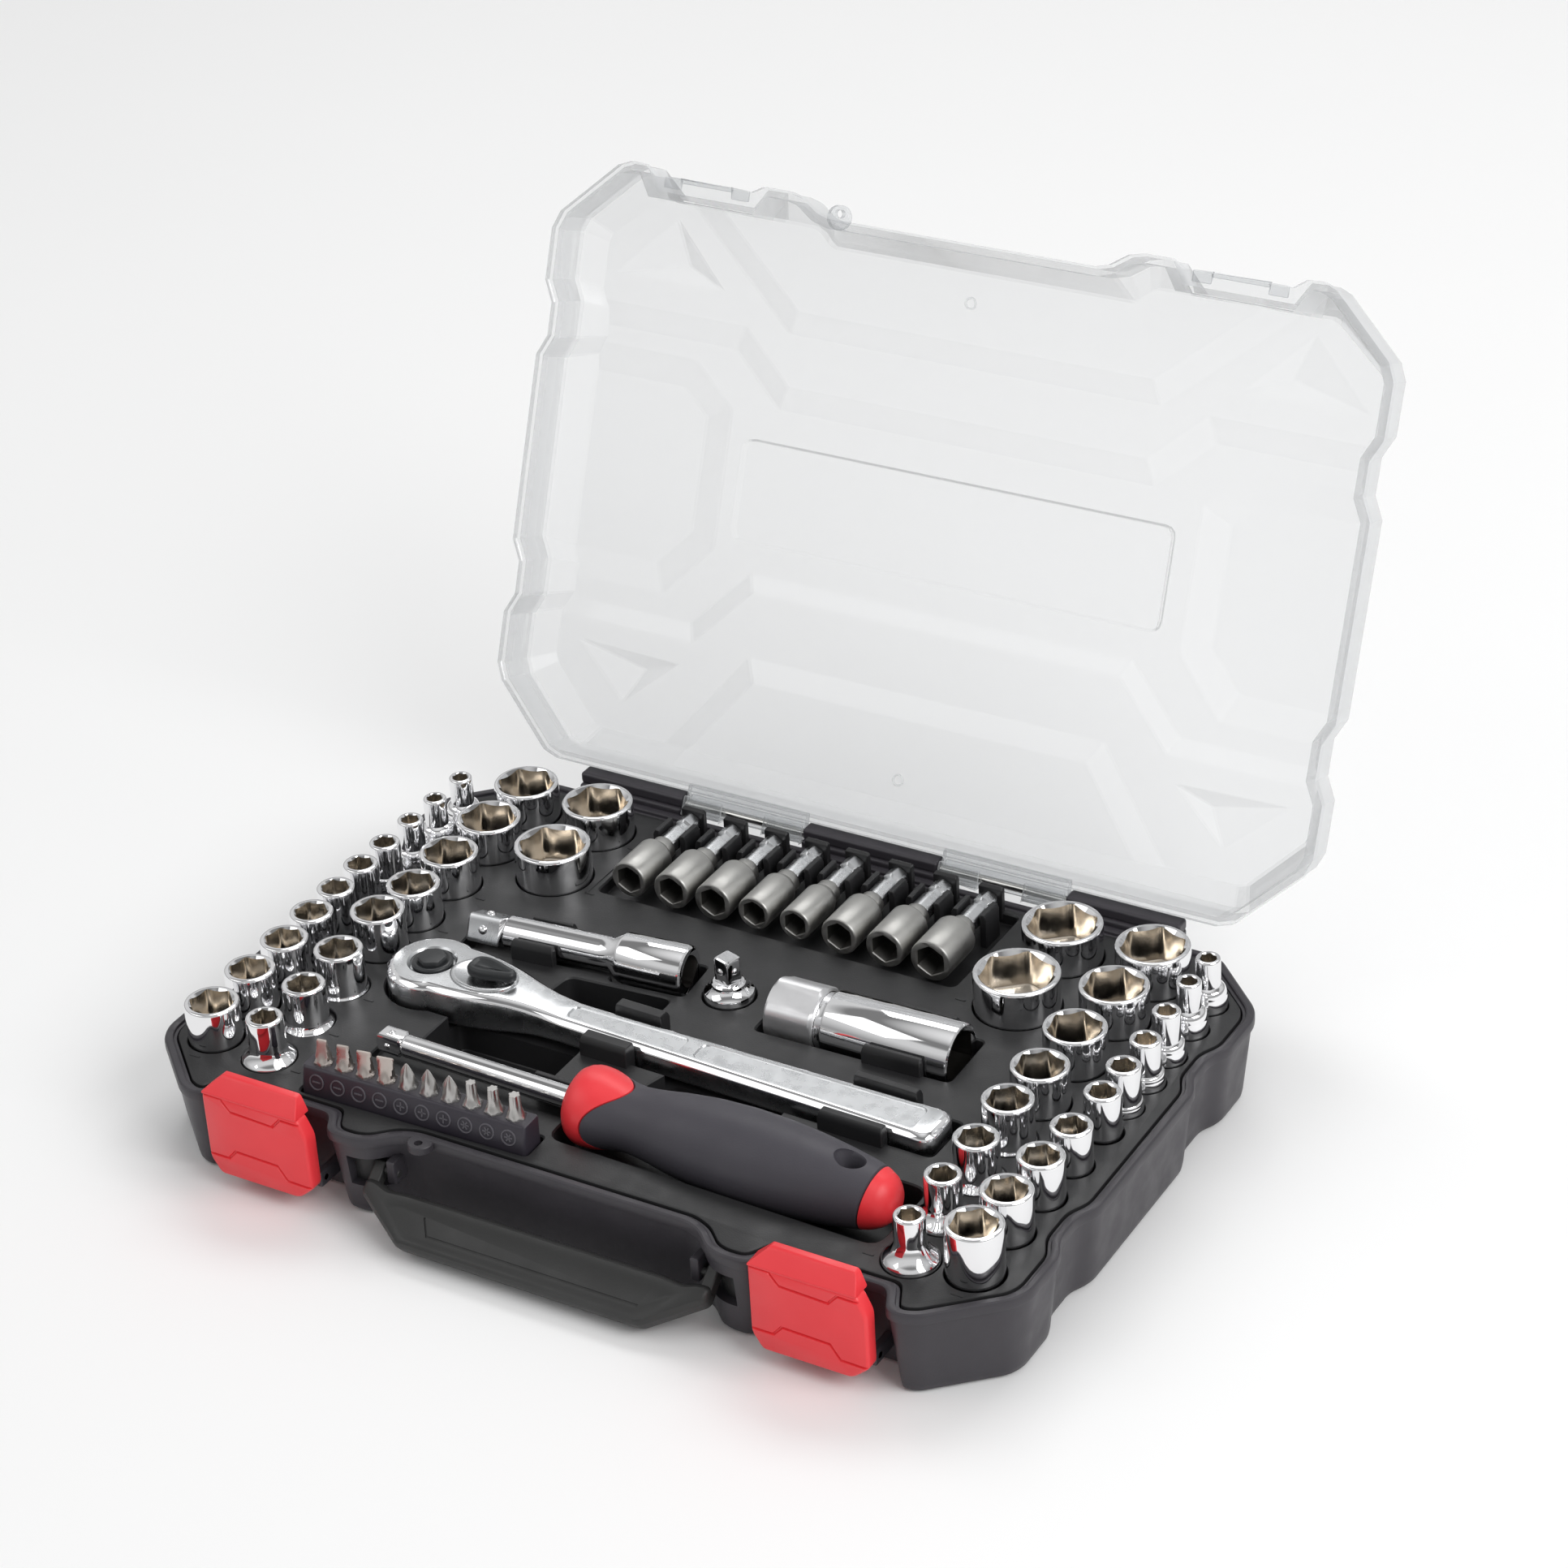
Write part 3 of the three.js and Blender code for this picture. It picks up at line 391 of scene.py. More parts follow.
def rounded(points, radius, steps=4):
    """Rounds each corner of a plan outline with a short curve."""
    curve = []
    for i, p in enumerate(points):
        before, after = points[i - 1] - p, points[(i + 1) % len(points)] - p
        reach = min(radius, before.length / 2.2, after.length / 2.2)
        a, b = p + before.normalized() * reach, p + after.normalized() * reach
        for k in range(steps + 1):
            t = k / steps
            curve.append(a * (1 - t) ** 2 + p * 2 * t * (1 - t) + b * t * t)
    return curve


def at(points, z):
    return [(p.x, p.y, z) for p in points]


def plan(*pairs):
    return [Vector(pair) for pair in pairs]


def rectangle(x0, x1, y0, y1):
    return plan((x0, y0), (x1, y0), (x1, y1), (x0, y1))


def both_sides(half):
    """A plan outline from its right half and that half's mirror image."""
    return plan(*half, *[(-x, y) for x, y in reversed(half)])


def turned(angle, axis="Z"):
    return Matrix.Rotation(angle, 4, axis)


def cutter(rings, look, matrix=None):
    shape = Shape()
    shape.loft(rings)
    return shape.finish("cutter", None, [look], matrix, smooth=False)


def blocks(name, body, look, boxes, matrix=None, bevel=0.5, segments=2):
    """Several box-shaped ribs or tabs as one bevelled piece: (x0, x1, y0, y1, z0, z1) rows."""
    shape = Shape()
    for x0, x1, y0, y1, z0, z1 in boxes:
        edge = rectangle(x0, x1, y0, y1)
        shape.loft([at(edge, z0), at(edge, z1)])
    return shape.finish(name, body, [look], matrix, bevel, segments)


def lying(start, stop, z):
    """Places a shape made along +Z from one plan point towards another, with its +X up."""
    along = Vector((stop.x - start.x, stop.y - start.y, 0)).normalized()
    up = Vector((0, 0, 1))
    turn = Matrix((up, along.cross(up), along)).transposed().to_4x4()
    return Matrix.Translation((start.x, start.y, z)) @ turn


# ---- case ------------------------------------------------
def outline(recess, pocket, front=FRONT):
    def lobe(share):
        return recess + (front - recess) * share

    half = [
        (47, recess), (52, lobe(0.18)), (58, lobe(0.72)), (63, lobe(0.88)), (72.5, lobe(0.88)), (77, pocket),
        (113, pocket), (117.5, front + 0.2), (CORNER - 2, front), (CORNER + 2.5, front + 1.8),
        (HALF - 2.6, -SIDE - 3), (HALF, -SIDE + 3), (HALF, -56.5), (HALF - DIP, -49.5), (HALF - DIP, -38.5),
        (HALF, -31.5), (HALF, 31.5), (HALF - DIP, 38.5), (HALF - DIP, 49.5), (HALF, 56.5), (HALF, SIDE - 3),
        (HALF - 2.6, SIDE + 3), (CORNER + 2.5, BACK - 1.8), (CORNER - 3, BACK),
    ]
    return both_sides(half)


CASE_PLAN = outline(RECESS, POCKET)


def case_ring(distance, z, radius=3.0):
    return at(rounded(inset(CASE_PLAN, distance), radius), z)


def case_shell():
    shape = Shape()
    wall = [(DRAFT + 2.4, 0.0), (DRAFT + 1.1, 0.35), (DRAFT + 0.35, 1.2), (DRAFT, 3.0), (0.95, RIM - 3.9),
            (0.55, RIM - 3.6), (0.1, RIM - 3.3), (0.0, RIM - 2.9), (0.0, RIM - 1.0), (0.25, RIM - 0.35),
            (0.8, RIM), (2.3, RIM), (2.7, RIM - 0.25), (2.9, RIM - 1.0), (3.7, RIM - 1.1), (3.9, RIM - 1.4),
            (4.0, RIM - 3.5), (5.4, RIM - 5), (6, 2.6)]
    shape.loft([case_ring(distance, z) for distance, z in wall])
    made = shape.finish("case_shell", "case", [CASE])
    cutters = []
    for side in (-1, 1):
        x0, x1 = sorted(side * x for x in HANDLE_GAP)
        cutters.append(blocks("cutter", None, TRAY, [(x0, x1, -104, -90, 11, 21.8)], bevel=0))
    cut(made, cutters)
    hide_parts("case_base")
    return made


def eyelet_shape(outside, y, bore, bore_y):
    """An eyelet from (height, radius) rows of its outside and the radius of its bore."""
    shape = Shape()
    heights = (outside[-1][0], outside[0][0])
    shape.tube([circle(radius, z, EYELET_X, y, 32) for z, radius in outside]
               + [circle(bore, z, EYELET_X, bore_y, 32) for z in heights])
    return shape


def case_details():
    rails = []
    for x0, x1 in HINGE_RAILS:
        rails.append((x0, x1, BACK - 3, HINGE.y, RIM - 8, RIM - 0.4))
        rails.append((x0, x1, BACK + 0.5, HINGE.y + 3.2, RIM - 8, HINGE.z - 0.6))
        rails.append((x0, x1, HINGE.y - 2.6, HINGE.y + 3.2, HINGE.z - 1, HINGE.z + 3.1))
        rails.append((x0 + 1, x1 - 1, BACK + 1, HINGE.y + 4.2, RIM - 9, RIM - 6))
    blocks("hinge_rails", "case", CASE, rails, bevel=1.1, segments=3)
    ears = []
    for side in (-1, 1):
        centre = HANDLE_EAR_X * side
        ears.append((centre - 1.5, centre + 1.5, -95.4, -89, 14.4, 22.4))
        for reach in (-LATCH_EAR_REACH, LATCH_EAR_REACH):
            x = LATCH_X * side + reach
            ears.append((x - 1.3, x + 1.3, -98.1, -86.9, 7, 12.2))
    blocks("pivot_ears", "case", CASE, ears, bevel=0.6)
    outside = ((RIM - 2.8, 3.7), (RIM - 2.5, 4), (RIM - 0.5, 4), (RIM - 0.2, 3.7))
    eyelet = eyelet_shape(outside, RECESS - 1, 1.3, RECESS - 2)
    eyelet.finish("eyelet", "case", [CASE])


# ---- lid, drawn shut and then swung open -----------------
LID_OPEN = (
    Matrix.Translation(HINGE) @ turned(-OPEN_ANGLE, "X") @ Matrix.Translation(-HINGE)
)


def left_of(a, b):
    along = (b - a).normalized()
    normal = Vector((-along.y, along.x))
    return lambda p: (p - a).dot(normal)


def mirrored(points):
    return [Vector((-p.x, p.y)) for p in reversed(points)]


def notched(distances):
    """The distance into a strip whose edge steps back between its two ends."""
    return min(distances[0], max(distances[1:-1]))


class Step:
    """A slope in the lid's panel that rises over `width` to the left of a line of plan points."""

    def __init__(self, points, width, rise, reach, closed=False):
        self.points, self.width, self.rise, self.reach, self.closed = points, width, rise, reach, closed
        ends = points[1:] + points[:1] if closed else points[1:]
        self.sides = [left_of(a, b) for a, b in zip(points, ends)]

    def height(self, p):
        reach = self.reach([side(p) for side in self.sides])
        return self.rise * min(1.0, max(0.0, reach / self.width))

    def top_points(self):
        moved = []
        count = len(self.points)
        for i, p in enumerate(self.points):
            before = self.points[i - 1] if i or self.closed else p * 2 - self.points[1]
            after = self.points[(i + 1) % count] if i < count - 1 or self.closed else p * 2 - before
            moved.append(p + mitre((p - before).normalized(), (after - p).normalized(), self.width))
        return moved

    def creases(self):
        low, high = self.points, self.top_points()
        pairs = list(zip(low, high))
        for line in (low, high):
            ends = line[1:] + line[:1] if self.closed else line[1:]
            pairs += list(zip(line, ends))
        return pairs


class Arrow:
    """A shallow three-sided pyramid in a corner of the panel."""

    def __init__(self, corners, peak, rise):
        self.corners, self.peak, self.rise = corners, peak, rise
        self.sides = [left_of(a, b) for a, b in zip(corners, corners[1:] + corners[:1])]

    def height(self, p):
        return self.rise * max(0.0, min(side(p) / side(self.peak) for side in self.sides))

    def creases(self):
        ring = list(zip(self.corners, self.corners[1:] + self.corners[:1]))
        return ring + [(corner, self.peak) for corner in self.corners]


def panel_relief():
    front = plan((-109.9, -98.6), (-64.3, -59.7), (64.3, -59.7), (109.9, -98.6))
    back = plan((89.7, 100.5), (62, 65), (-62, 65), (-89.7, 100.5))
    middle_front = plan((-160, -51.6), (-84.1, -51.6), (-65.3, -34.6), (65.3, -34.6), (84.1, -51.6),
                        (160, -51.6))
    middle_back = plan((160, 56.5), (88.1, 56.5), (68, 35.5), (-68, 35.5), (-88.1, 56.5), (-160, 56.5))
    side = plan((160, 43), (103.2, 43), (86, 24.2), (86, -23.3), (102.4, -37.2), (160, -37.2))
    badge = rounded(plan((-80, -15), (78, -15), (78, 19.6), (-80, 19.6)), 4, 3)
    steps = [
        Step(front, 8, 2.0, max), Step(back, 8, 2.0, max), Step(middle_front, 8.5, 2.0, notched),
        Step(middle_back, 6, 2.0, notched), Step(side, 10, 1.6, min), Step(mirrored(side), 10, 1.6, min),
        Step(badge, 0.8, 0.6, min, closed=True),
    ]
    near = (plan((115, -82), (136.5, -61), (94.5, -61.7)), Vector((109, -67.4)))
    far = (plan((112, 82), (92.5, 65), (132, 64)), Vector((105.5, 69.7)))
    for corners, peak in (near, far):
        steps.append(Arrow(corners, peak, 1.9))
        steps.append(Arrow(mirrored(corners), Vector((-peak.x, peak.y)), 1.9))
    return steps


RELIEF = panel_relief()
PANEL_BASE = RIM + 21.4


def panel_height(p):
    front, back, middle_front, middle_back = [step.height(p) / step.rise for step in RELIEF[:4]]
    rest = sum(step.height(p) for step in RELIEF[4:])
    return PANEL_BASE + 2.0 * front * back + 2.0 * middle_front * middle_back + rest


def crown_outline():
    """The edge where the lid's panel meets its sloping walls."""
    half = [
        (53.5, -82.8), (55.5, -84), (58.5, -86.8), (61.5, -88.2), (73, -88.4), (78, -88.4), (112, -88.4),
        (116, -88.5), (120, -88.6), (123, -87.2), (139.6, -73.8), (140.8, -70.6), (140.8, -55), (138, -48.8),
        (138, -39.2), (140.8, -33), (140.8, 33), (138, 39.2), (138, 48.8), (140.8, 55), (140.8, 70.6),
        (139.6, 73.8), (122.5, 91.6), (119, 92.8),
    ]
    return both_sides(half)


def crossings(edge, creases):
    """Where the creases meet a closed plan outline, and its corners: (edge number, share of it) pairs."""
    places = []
    for k, a in enumerate(edge):
        b = edge[(k + 1) % len(edge)]
        shares = [0.0]
        for c, d in creases:
            turn = (b - a).cross(d - c)
            if abs(turn) > 1e-9:
                t, u = (c - a).cross(d - c) / turn, (c - a).cross(b - a) / turn
                if 0.02 < t < 0.98 and 0 <= u <= 1:
                    shares.append(t)
        places += [(k, t) for t in sorted(shares)]
    return places


def lid_surface(shape, rings, crown, depth, places, creases):
    """One side of the lid: walls up through the rings to the crown, then the panel."""
    def pick(line):
        return [line[k].lerp(line[(k + 1) % len(line)], t) for k, t in places]

    made = [shape.ring(at(pick(line), z)) for line, z in rings]
    edge = pick(crown)
    rim = shape.ring([(p.x, p.y, panel_height(p) - depth) for p in edge])
    for a, b in zip(made + [rim], made[1:] + [rim]):
        if a is not b:
            shape.skin(a, b)
    corners = list(edge)
    edges = []
    for a, b in creases:
        edges.append((len(corners), len(corners) + 1))
        corners += [a, b]
    points, _, faces, _, _, sources = delaunay_2d_cdt(corners, edges, [list(range(len(edge)))], 1, 0.02)
    start = len(shape.points)
    shape.points.extend(Vector((p.x, p.y, panel_height(p) - depth)) for p in points)
    for corners, source in zip(faces, sources):
        if source:
            shape.face([start + i for i in corners])
    return made


def lid():
    flange = outline(LID_POCKET, LID_LEDGE)
    wall = outline(LID_POCKET, LID_POCKET)
    crown = crown_outline()
    creases = [pair for step in RELIEF for pair in step.creases()]
    places = crossings(crown, creases)
    outer = [(flange, LID_BASE), (flange, LID_BASE + 2.6), (inset(wall, 0.9), LID_BASE + 3.0),
             (inset(wall, 1.8), RIM + 16)]
    inner = [(inset(wall, 3), LID_BASE), (inset(wall, 0.9 + LID_WALL), LID_BASE + 3.2),
             (inset(wall, 1.8 + LID_WALL), RIM + 15)]
    shape = Shape()
    outside = lid_surface(shape, outer, crown, 0, places, creases)
    inside = lid_surface(shape, inner, inset(crown, 0.9), LID_WALL, places, creases)
    shape.skin(outside[0], inside[0])
    made = shape.finish("lid_shell", "lid", [CLEAR], LID_OPEN, angle=7)
    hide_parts("lid")
    return made


def lid_knuckles():
    tabs = []
    for x0, x1 in LID_KNUCKLES:
        tabs.append((x0, x1, BACK - 2.2, HINGE.y - 1, HINGE.z - 1, HINGE.z + 2.2))
        tabs.append((x0, x1, HINGE.y - 3, HINGE.y + 3, HINGE.z + 1.6, HINGE.z + 3.1))
        third = (x1 - x0) / 3
        for a, b in ((x0, x0 + third - 0.6), (x1 - third + 0.6, x1)):
            tabs.append((a, b, HINGE.y - 3, HINGE.y + 3, HINGE.z - 3.1, HINGE.z - 1.6))
            tabs.append((a, b, HINGE.y + 1.7, HINGE.y + 3, HINGE.z - 3.1, HINGE.z + 3.1))
    made = blocks("lid_knuckles", "lid", CLEAR_EDGE, tabs, LID_OPEN, 0.5)


def lid_catches():
    catches = []
    for side in (-1, 1):
        for a, b in ((-16, -9.6), (9.6, 16), (-9.6, 9.6)):
            x0, x1 = sorted((side * LATCH_X + a, side * LATCH_X + b))
            y1 = -95.4 if (a, b) == (-9.6, 9.6) else -93.2
            catches.append((x0, x1, LID_LEDGE - 0.2, y1, LID_BASE + 2.7, LID_BASE + 3.9))
    blocks("lid_catches", "lid", CLEAR_EDGE, catches, LID_OPEN, 0.3)


def lid_marks():
    marks = Shape()
    for x, y in ((-2, -72.7), (-3, 84.9)):
        top = panel_height(Vector((x, y))) - LID_WALL
        marks.tube([circle(radius, top - drop, x, y, 28) for radius, drop in
                    ((2.1, 0), (2.0, 0.5), (1.6, 0.6), (1.4, 0))])
    marks.finish("ejector_marks", "lid", [CLEAR], LID_OPEN)
    outside = ((LID_BASE, 3.8), (LID_BASE + 0.2, 4), (LID_BASE + 2.2, 4), (LID_BASE + 2.4, 3.7))
    eyelet = eyelet_shape(outside, LID_POCKET - 1, 1.4, LID_POCKET - 2.2)
    eyelet.finish("lid_eyelet", "lid", [CLEAR_EDGE], LID_OPEN)


def hinge_pins():
    for number, (x0, x1) in enumerate(LID_KNUCKLES, 1):
        pin = Shape()
        pin.turn([(0, 1.0), (0.4, 1.35), (x1 - x0 + 9.6, 1.35), (x1 - x0 + 10, 1.0)], 20)
        start, stop = Vector((x0 - 5, HINGE.y)), Vector((x1 + 5, HINGE.y))
        pin.finish(f"hinge_pin_{number}", "case", [PIN], lying(start, stop, HINGE.z))


# ---- tools -----------------------------------------------
class Line:
    """A lying tool's centre line, and plan points measured along it and across it."""

    def __init__(self, start, stop, z):
        self.start, self.stop, self.z = Vector(start), Vector(stop), z
        self.length = (self.stop - self.start).length
        self.ahead = (self.stop - self.start).normalized()
        self.aside = Vector((-self.ahead.y, self.ahead.x))
        self.matrix = lying(self.start, self.stop, z)

    def at(self, along, across=0.0):
        return self.start + self.ahead * along + self.aside * across

    def plate(self, a, b, low, high):
        return [self.at(a, low), self.at(b, low), self.at(b, high), self.at(a, high)]


EXTENSION = Line((-92.8, 11.2), (-16.4, 18.1), RIM + 3)
SPARK = Line((17, 15.2), (80, 16.4), RIM + 0.6)
RATCHET = Line((-88.5, -17.6), (94.2, -21.6), RIM)
DRIVER = Line((-82, -55), (100, -60), RIM + 3.6)
RAIL = Line((-92, -79.4), (-12.4, -77.4), RIM + 8)
ADAPTER = Vector((-1.2, 16.4))
NUT_MOUTH, NUT_Z = 54.0, RIM + 4
COLLAR = 74.0
KINDS = {"quarter": (25, 12, QUARTER_DRIVE), "three_eighth": (28, 17, THREE_EIGHTH_DRIVE)}
SPARE = ((-134.8, 53, 16.8), (-134.4, 67.6, 17), (134.3, 60.6, 17.5), (133.9, 75.2, 17))


def barrel_radius(node, centre, top):
    """A standing socket's barrel radius, from the ring of corners at its mouth."""
    reach = 0.0
    for vertex in bpy.data.objects[node].data.vertices:
        x, y, z = vertex.co / MM
        if z > top - 0.05:
            reach = max(reach, math.hypot(x - centre.x, y - centre.y))
    return reach + 0.6


def socket(name, body, centre, top, radius, kind, turn):
    length, base, drive = KINDS[kind]
    diameter = radius * 2
    foot = max(diameter, base) / 2
    flats = diameter * (0.6 + 0.18 * min(1, max(0, (diameter - 7) / 14)))
    corner = flats / math.sqrt(3) * 0.97
    floor = length * 0.55
    shape = Shape()
    outside = [(0, foot - 0.8), (0.25, foot - 0.35), (0.8, foot)]
    if foot - radius > 0.4:
        low, rise = length * 0.48, (foot - radius) * 1.6
        outside += [(low - 0.3, foot), (low, foot - 0.15)]
        for k in range(1, 8):
            t = k / 7
            share = (1 - t) ** 1.9 if kind == "three_eighth" else math.sqrt(1 - t * t)
            outside.append((low + 0.1 + rise * t, radius + (foot - radius - 0.2) * share))
    outside += [(length - 0.8, radius), (length - 0.4, radius - 0.1), (length - 0.12, radius - 0.3),
                (length, radius - 0.6)]
    rows = [(circle(r, z), 0) for z, r in outside]
    rows.append((circle(corner + 0.12, length), 0))
    mouth = [(x, y, length - 0.1 - (corner + 0.1 - math.hypot(x, y)) * 0.75)
             for x, y, _ in hexagon(flats, 0, 0, 0.97)]
    rows += [(mouth, 0), (hexagon(flats, floor + 0.4, 0, 0.97), 1), (hexagon(flats * 0.9, floor, 0, 0.97), 1),
             (circle(drive * 0.66, floor - 0.1), 1)]
    # The drive square's walls take the near-black look: painted shade in the hole.
    rows += [(square(across, z), 2) for z, across in ((floor - 1, drive), (1, drive), (0, drive + 0.8))]
    rings = shape.stack(rows)
    shape.skin(rings[-1], rings[0])
    place = Matrix.Translation((centre.x, centre.y, top - length)) @ turned(turn)
    made = shape.finish(name, body, [CHROME, BROACH, HOLE_SHADE], place, angle=38)
    return made


def sockets():
    wells = []
    for node in sorted(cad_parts):
        kind = next((kind for kind in KINDS if node.startswith("socket_" + kind)), None)
        if kind is None:
            continue
        low, high = box_mm(node)
        centre = Vector(((low.x + high.x) / 2, (low.y + high.y) / 2))
        radius = barrel_radius(node, centre, high.z)
        turn = SOCKET_TURN_LEFT if "left" in node else SOCKET_TURN_RIGHT
        made = socket(node + "_chrome", node, centre, high.z, radius, kind, turn)
        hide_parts(node)
        length, base, _ = KINDS[kind]
        wells.append((centre, max(radius, base / 2) + 0.35, high.z - length - 0.3))
    for number, (x, y, rise) in enumerate(SPARE, 1):
        turn = SOCKET_TURN_LEFT if x < 0 else SOCKET_TURN_RIGHT
        socket(f"small_socket_{number}", "case", Vector((x, y)), RIM + rise, 3.9, "quarter", turn)
        wells.append((Vector((x, y)), 6.35, RIM + rise - 25.3))
    return wells


def ball(shape, centre, radius, matrix, look=0):
    """A detent ball's dome, standing out along +Z from its centre."""
    steps = 5
    rings = []
    for k in range(steps):
        a = math.pi / 2 * k / steps
        ring = circle(radius * math.cos(a), radius * math.sin(a), segments=20)
        rings.append([matrix @ (Vector(p) + Vector(centre)) for p in ring])
    shape.loft(rings, look)


def four_balls(shape, height, reach, radius, turn=0.0, look=0):
    """A detent ball in each side of a drive square."""
    for quarter in range(4):
        spin = turned(turn + quarter * math.pi / 2) @ turned(math.pi / 2, "Y")
        ball(shape, (-height, 0, reach), radius, spin, look)


def nut_setter(number):
    node = f"nut_setter_{number}"
    low, high = box_mm(node)
    x, radius = (low.x + high.x) / 2, (high.x - low.x) / 2
    across = radius * 1.3
    shape = Shape()
    outside = [(0, radius - 0.5), (0.15, radius - 0.2), (0.6, radius)]
    body = [(16.2, radius), (16.9, radius - 0.25), (18.6, 4.5), (19, 4.2), (22.1, 4.1), (22.6, 3.8),
            (22.8, 3.4)]
    # The bore's floor takes the near-black look (the magnet's own tone plus painted shade) and its walls the
    # darker bore look (painted shade).
    rows = [(circle(across * 0.3, 7.6), 1), (hexagon(across * 0.9, 8, math.pi / 6), 1),
            (hexagon(across, 0.5, math.pi / 6), 3), (hexagon(across + 0.5, 0.1, math.pi / 6), 0)]
    rows += [(circle(r, z), 0) for z, r in outside + body]
    shank = [(22.9, 6.2), (23.4, 6.35), (31, 6.35), (31.8, 5.1), (34.2, 5.1), (35, 6.35), (39.2, 6.35),
             (40, 5.6)]
    rows += [(hexagon(flats, z, math.pi / 6, 0.96), 2) for z, flats in shank]
    shape.stack(rows, 1, 2)
    place = lying(Vector((x, NUT_MOUTH)), Vector((x, NUT_MOUTH + 1)), NUT_Z)
    made = shape.finish(node + "_steel", node, [SETTER, HOLE_SHADE, SATIN, BORE_SHADE], place, angle=30)
    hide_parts(node)


def extension_bar():
    length, turn = EXTENSION.length, 0.35 + math.pi / 4
    shape = Shape()
    rows = [(square(8.2, 0, turn), 0), (square(9.3, 0.8, turn), 0), (square(9.4, 11.5, turn), 0),
            (circle(5.2, 13), 1)]
    outside = [(13.6, 5.6), (14, 5.6), (length - 30, 5.6), (length - 26, 5.9), (length - 23, 7.9),
               (length - 22, 8.2), (length - 1.4, 8.2), (length - 0.5, 7.9), (length, 7.3)]
    rows += [(circle(r, z), 1) for z, r in outside]
    # The drive square at this end takes the near-black look: painted shade in the hole.
    rows += [(square(10.6, length - 0.1, turn), 1), (square(THREE_EIGHTH_DRIVE, length - 1, turn), 2),
             (square(THREE_EIGHTH_DRIVE, length - 11, turn), 2)]
    shape.stack(rows, 0, 2)
    four_balls(shape, 5.8, 4.1, 1.7, turn, 1)
    looks = [SATIN, CHROME, HOLE_SHADE]
    made = shape.finish("extension_bar_chrome", "extension_bar", looks, EXTENSION.matrix, angle=30)
    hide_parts("extension_bar")


def drive_adapter():
    shape = Shape()
    foot = [(0, 7.4), (0.5, 7.9), (1, 8), (14.6, 8), (15, 7.8), (15.3, 7.3), (16.9, 5.7), (17.4, 5.5),
            (18, 5.4), (18.5, 4.9)]
    # The drive square hole takes the near-black look: painted shade in the hole.
    rows = [(square(THREE_EIGHTH_DRIVE, 11), 1), (square(THREE_EIGHTH_DRIVE, 1), 1), (square(10.4, 0), 1)]
    rows += [(circle(r, z), 0) for z, r in foot]
    turn = 0.5 + math.pi / 4
    rows += [(square(flats, z, turn), 0) for z, flats in
             ((18.7, 6.3), (26, 6.3), (26.8, 5.9), (27.2, 5.0))]
    shape.stack(rows, 1, 0)
    four_balls(shape, 23, 2.6, 1.3, turn)
    place = Matrix.Translation((ADAPTER.x, ADAPTER.y, RIM - 13.4))
    made = shape.finish("drive_adapter_chrome", "drive_adapter", [CHROME, HOLE_SHADE], place, angle=30)
    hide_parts("drive_adapter")


def spark_plug_socket():
    length, turn = SPARK.length, math.pi / 6
    shape = Shape()
    # The drive square takes the near-black look: painted shade in the hole.
    rows = [(square(THREE_EIGHTH_DRIVE, 12), 2), (square(THREE_EIGHTH_DRIVE, 0.8), 2), (square(10.6, 0), 2),
            (circle(9.2, 0), 0)]
    for z, limit in ((0.25, 10.2), (1.2, 11.4), (15.8, 11.4), (16.6, 10.4), (17, 9.6)):
        ring = []
        for x, y, _ in hexagon(20.6, 0, turn):
            reach = min(1.0, limit / math.hypot(x, y))
            ring.append((x * reach, y * reach, z))
        rows.append((ring, 0))
    outside = [(17.2, 9.4), (18.4, 9.5), (19.6, 10.3), (20.4, 10.7), (length - 1.2, 10.75),
               (length - 0.4, 10.5), (length, 10)]
    rows += [(circle(r, z), 1) for z, r in outside]
    # Deep inside, the hex and its floor take the near-black look: painted shade.
    rows += [(circle(9.5, length), 1), (hexagon(16.2, length - 0.8, turn), 1),
             (hexagon(16.2, length - 26, turn), 2)]
    shape.stack(rows, 2, 2)
    looks = [FROSTED, CHROME, HOLE_SHADE]
    made = shape.finish("spark_plug_socket_chrome", "spark_plug_socket", looks, SPARK.matrix, angle=30)
    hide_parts("spark_plug_socket")


def ease(t):
    t = min(1.0, max(0.0, t))
    return t * t * (3 - 2 * t)


RATCHET_PLACE = (
    Matrix.Translation((RATCHET.start.x, RATCHET.start.y, RIM))
    @ turned(math.atan2(RATCHET.ahead.y, RATCHET.ahead.x))
)
LEVER_X = 19.8


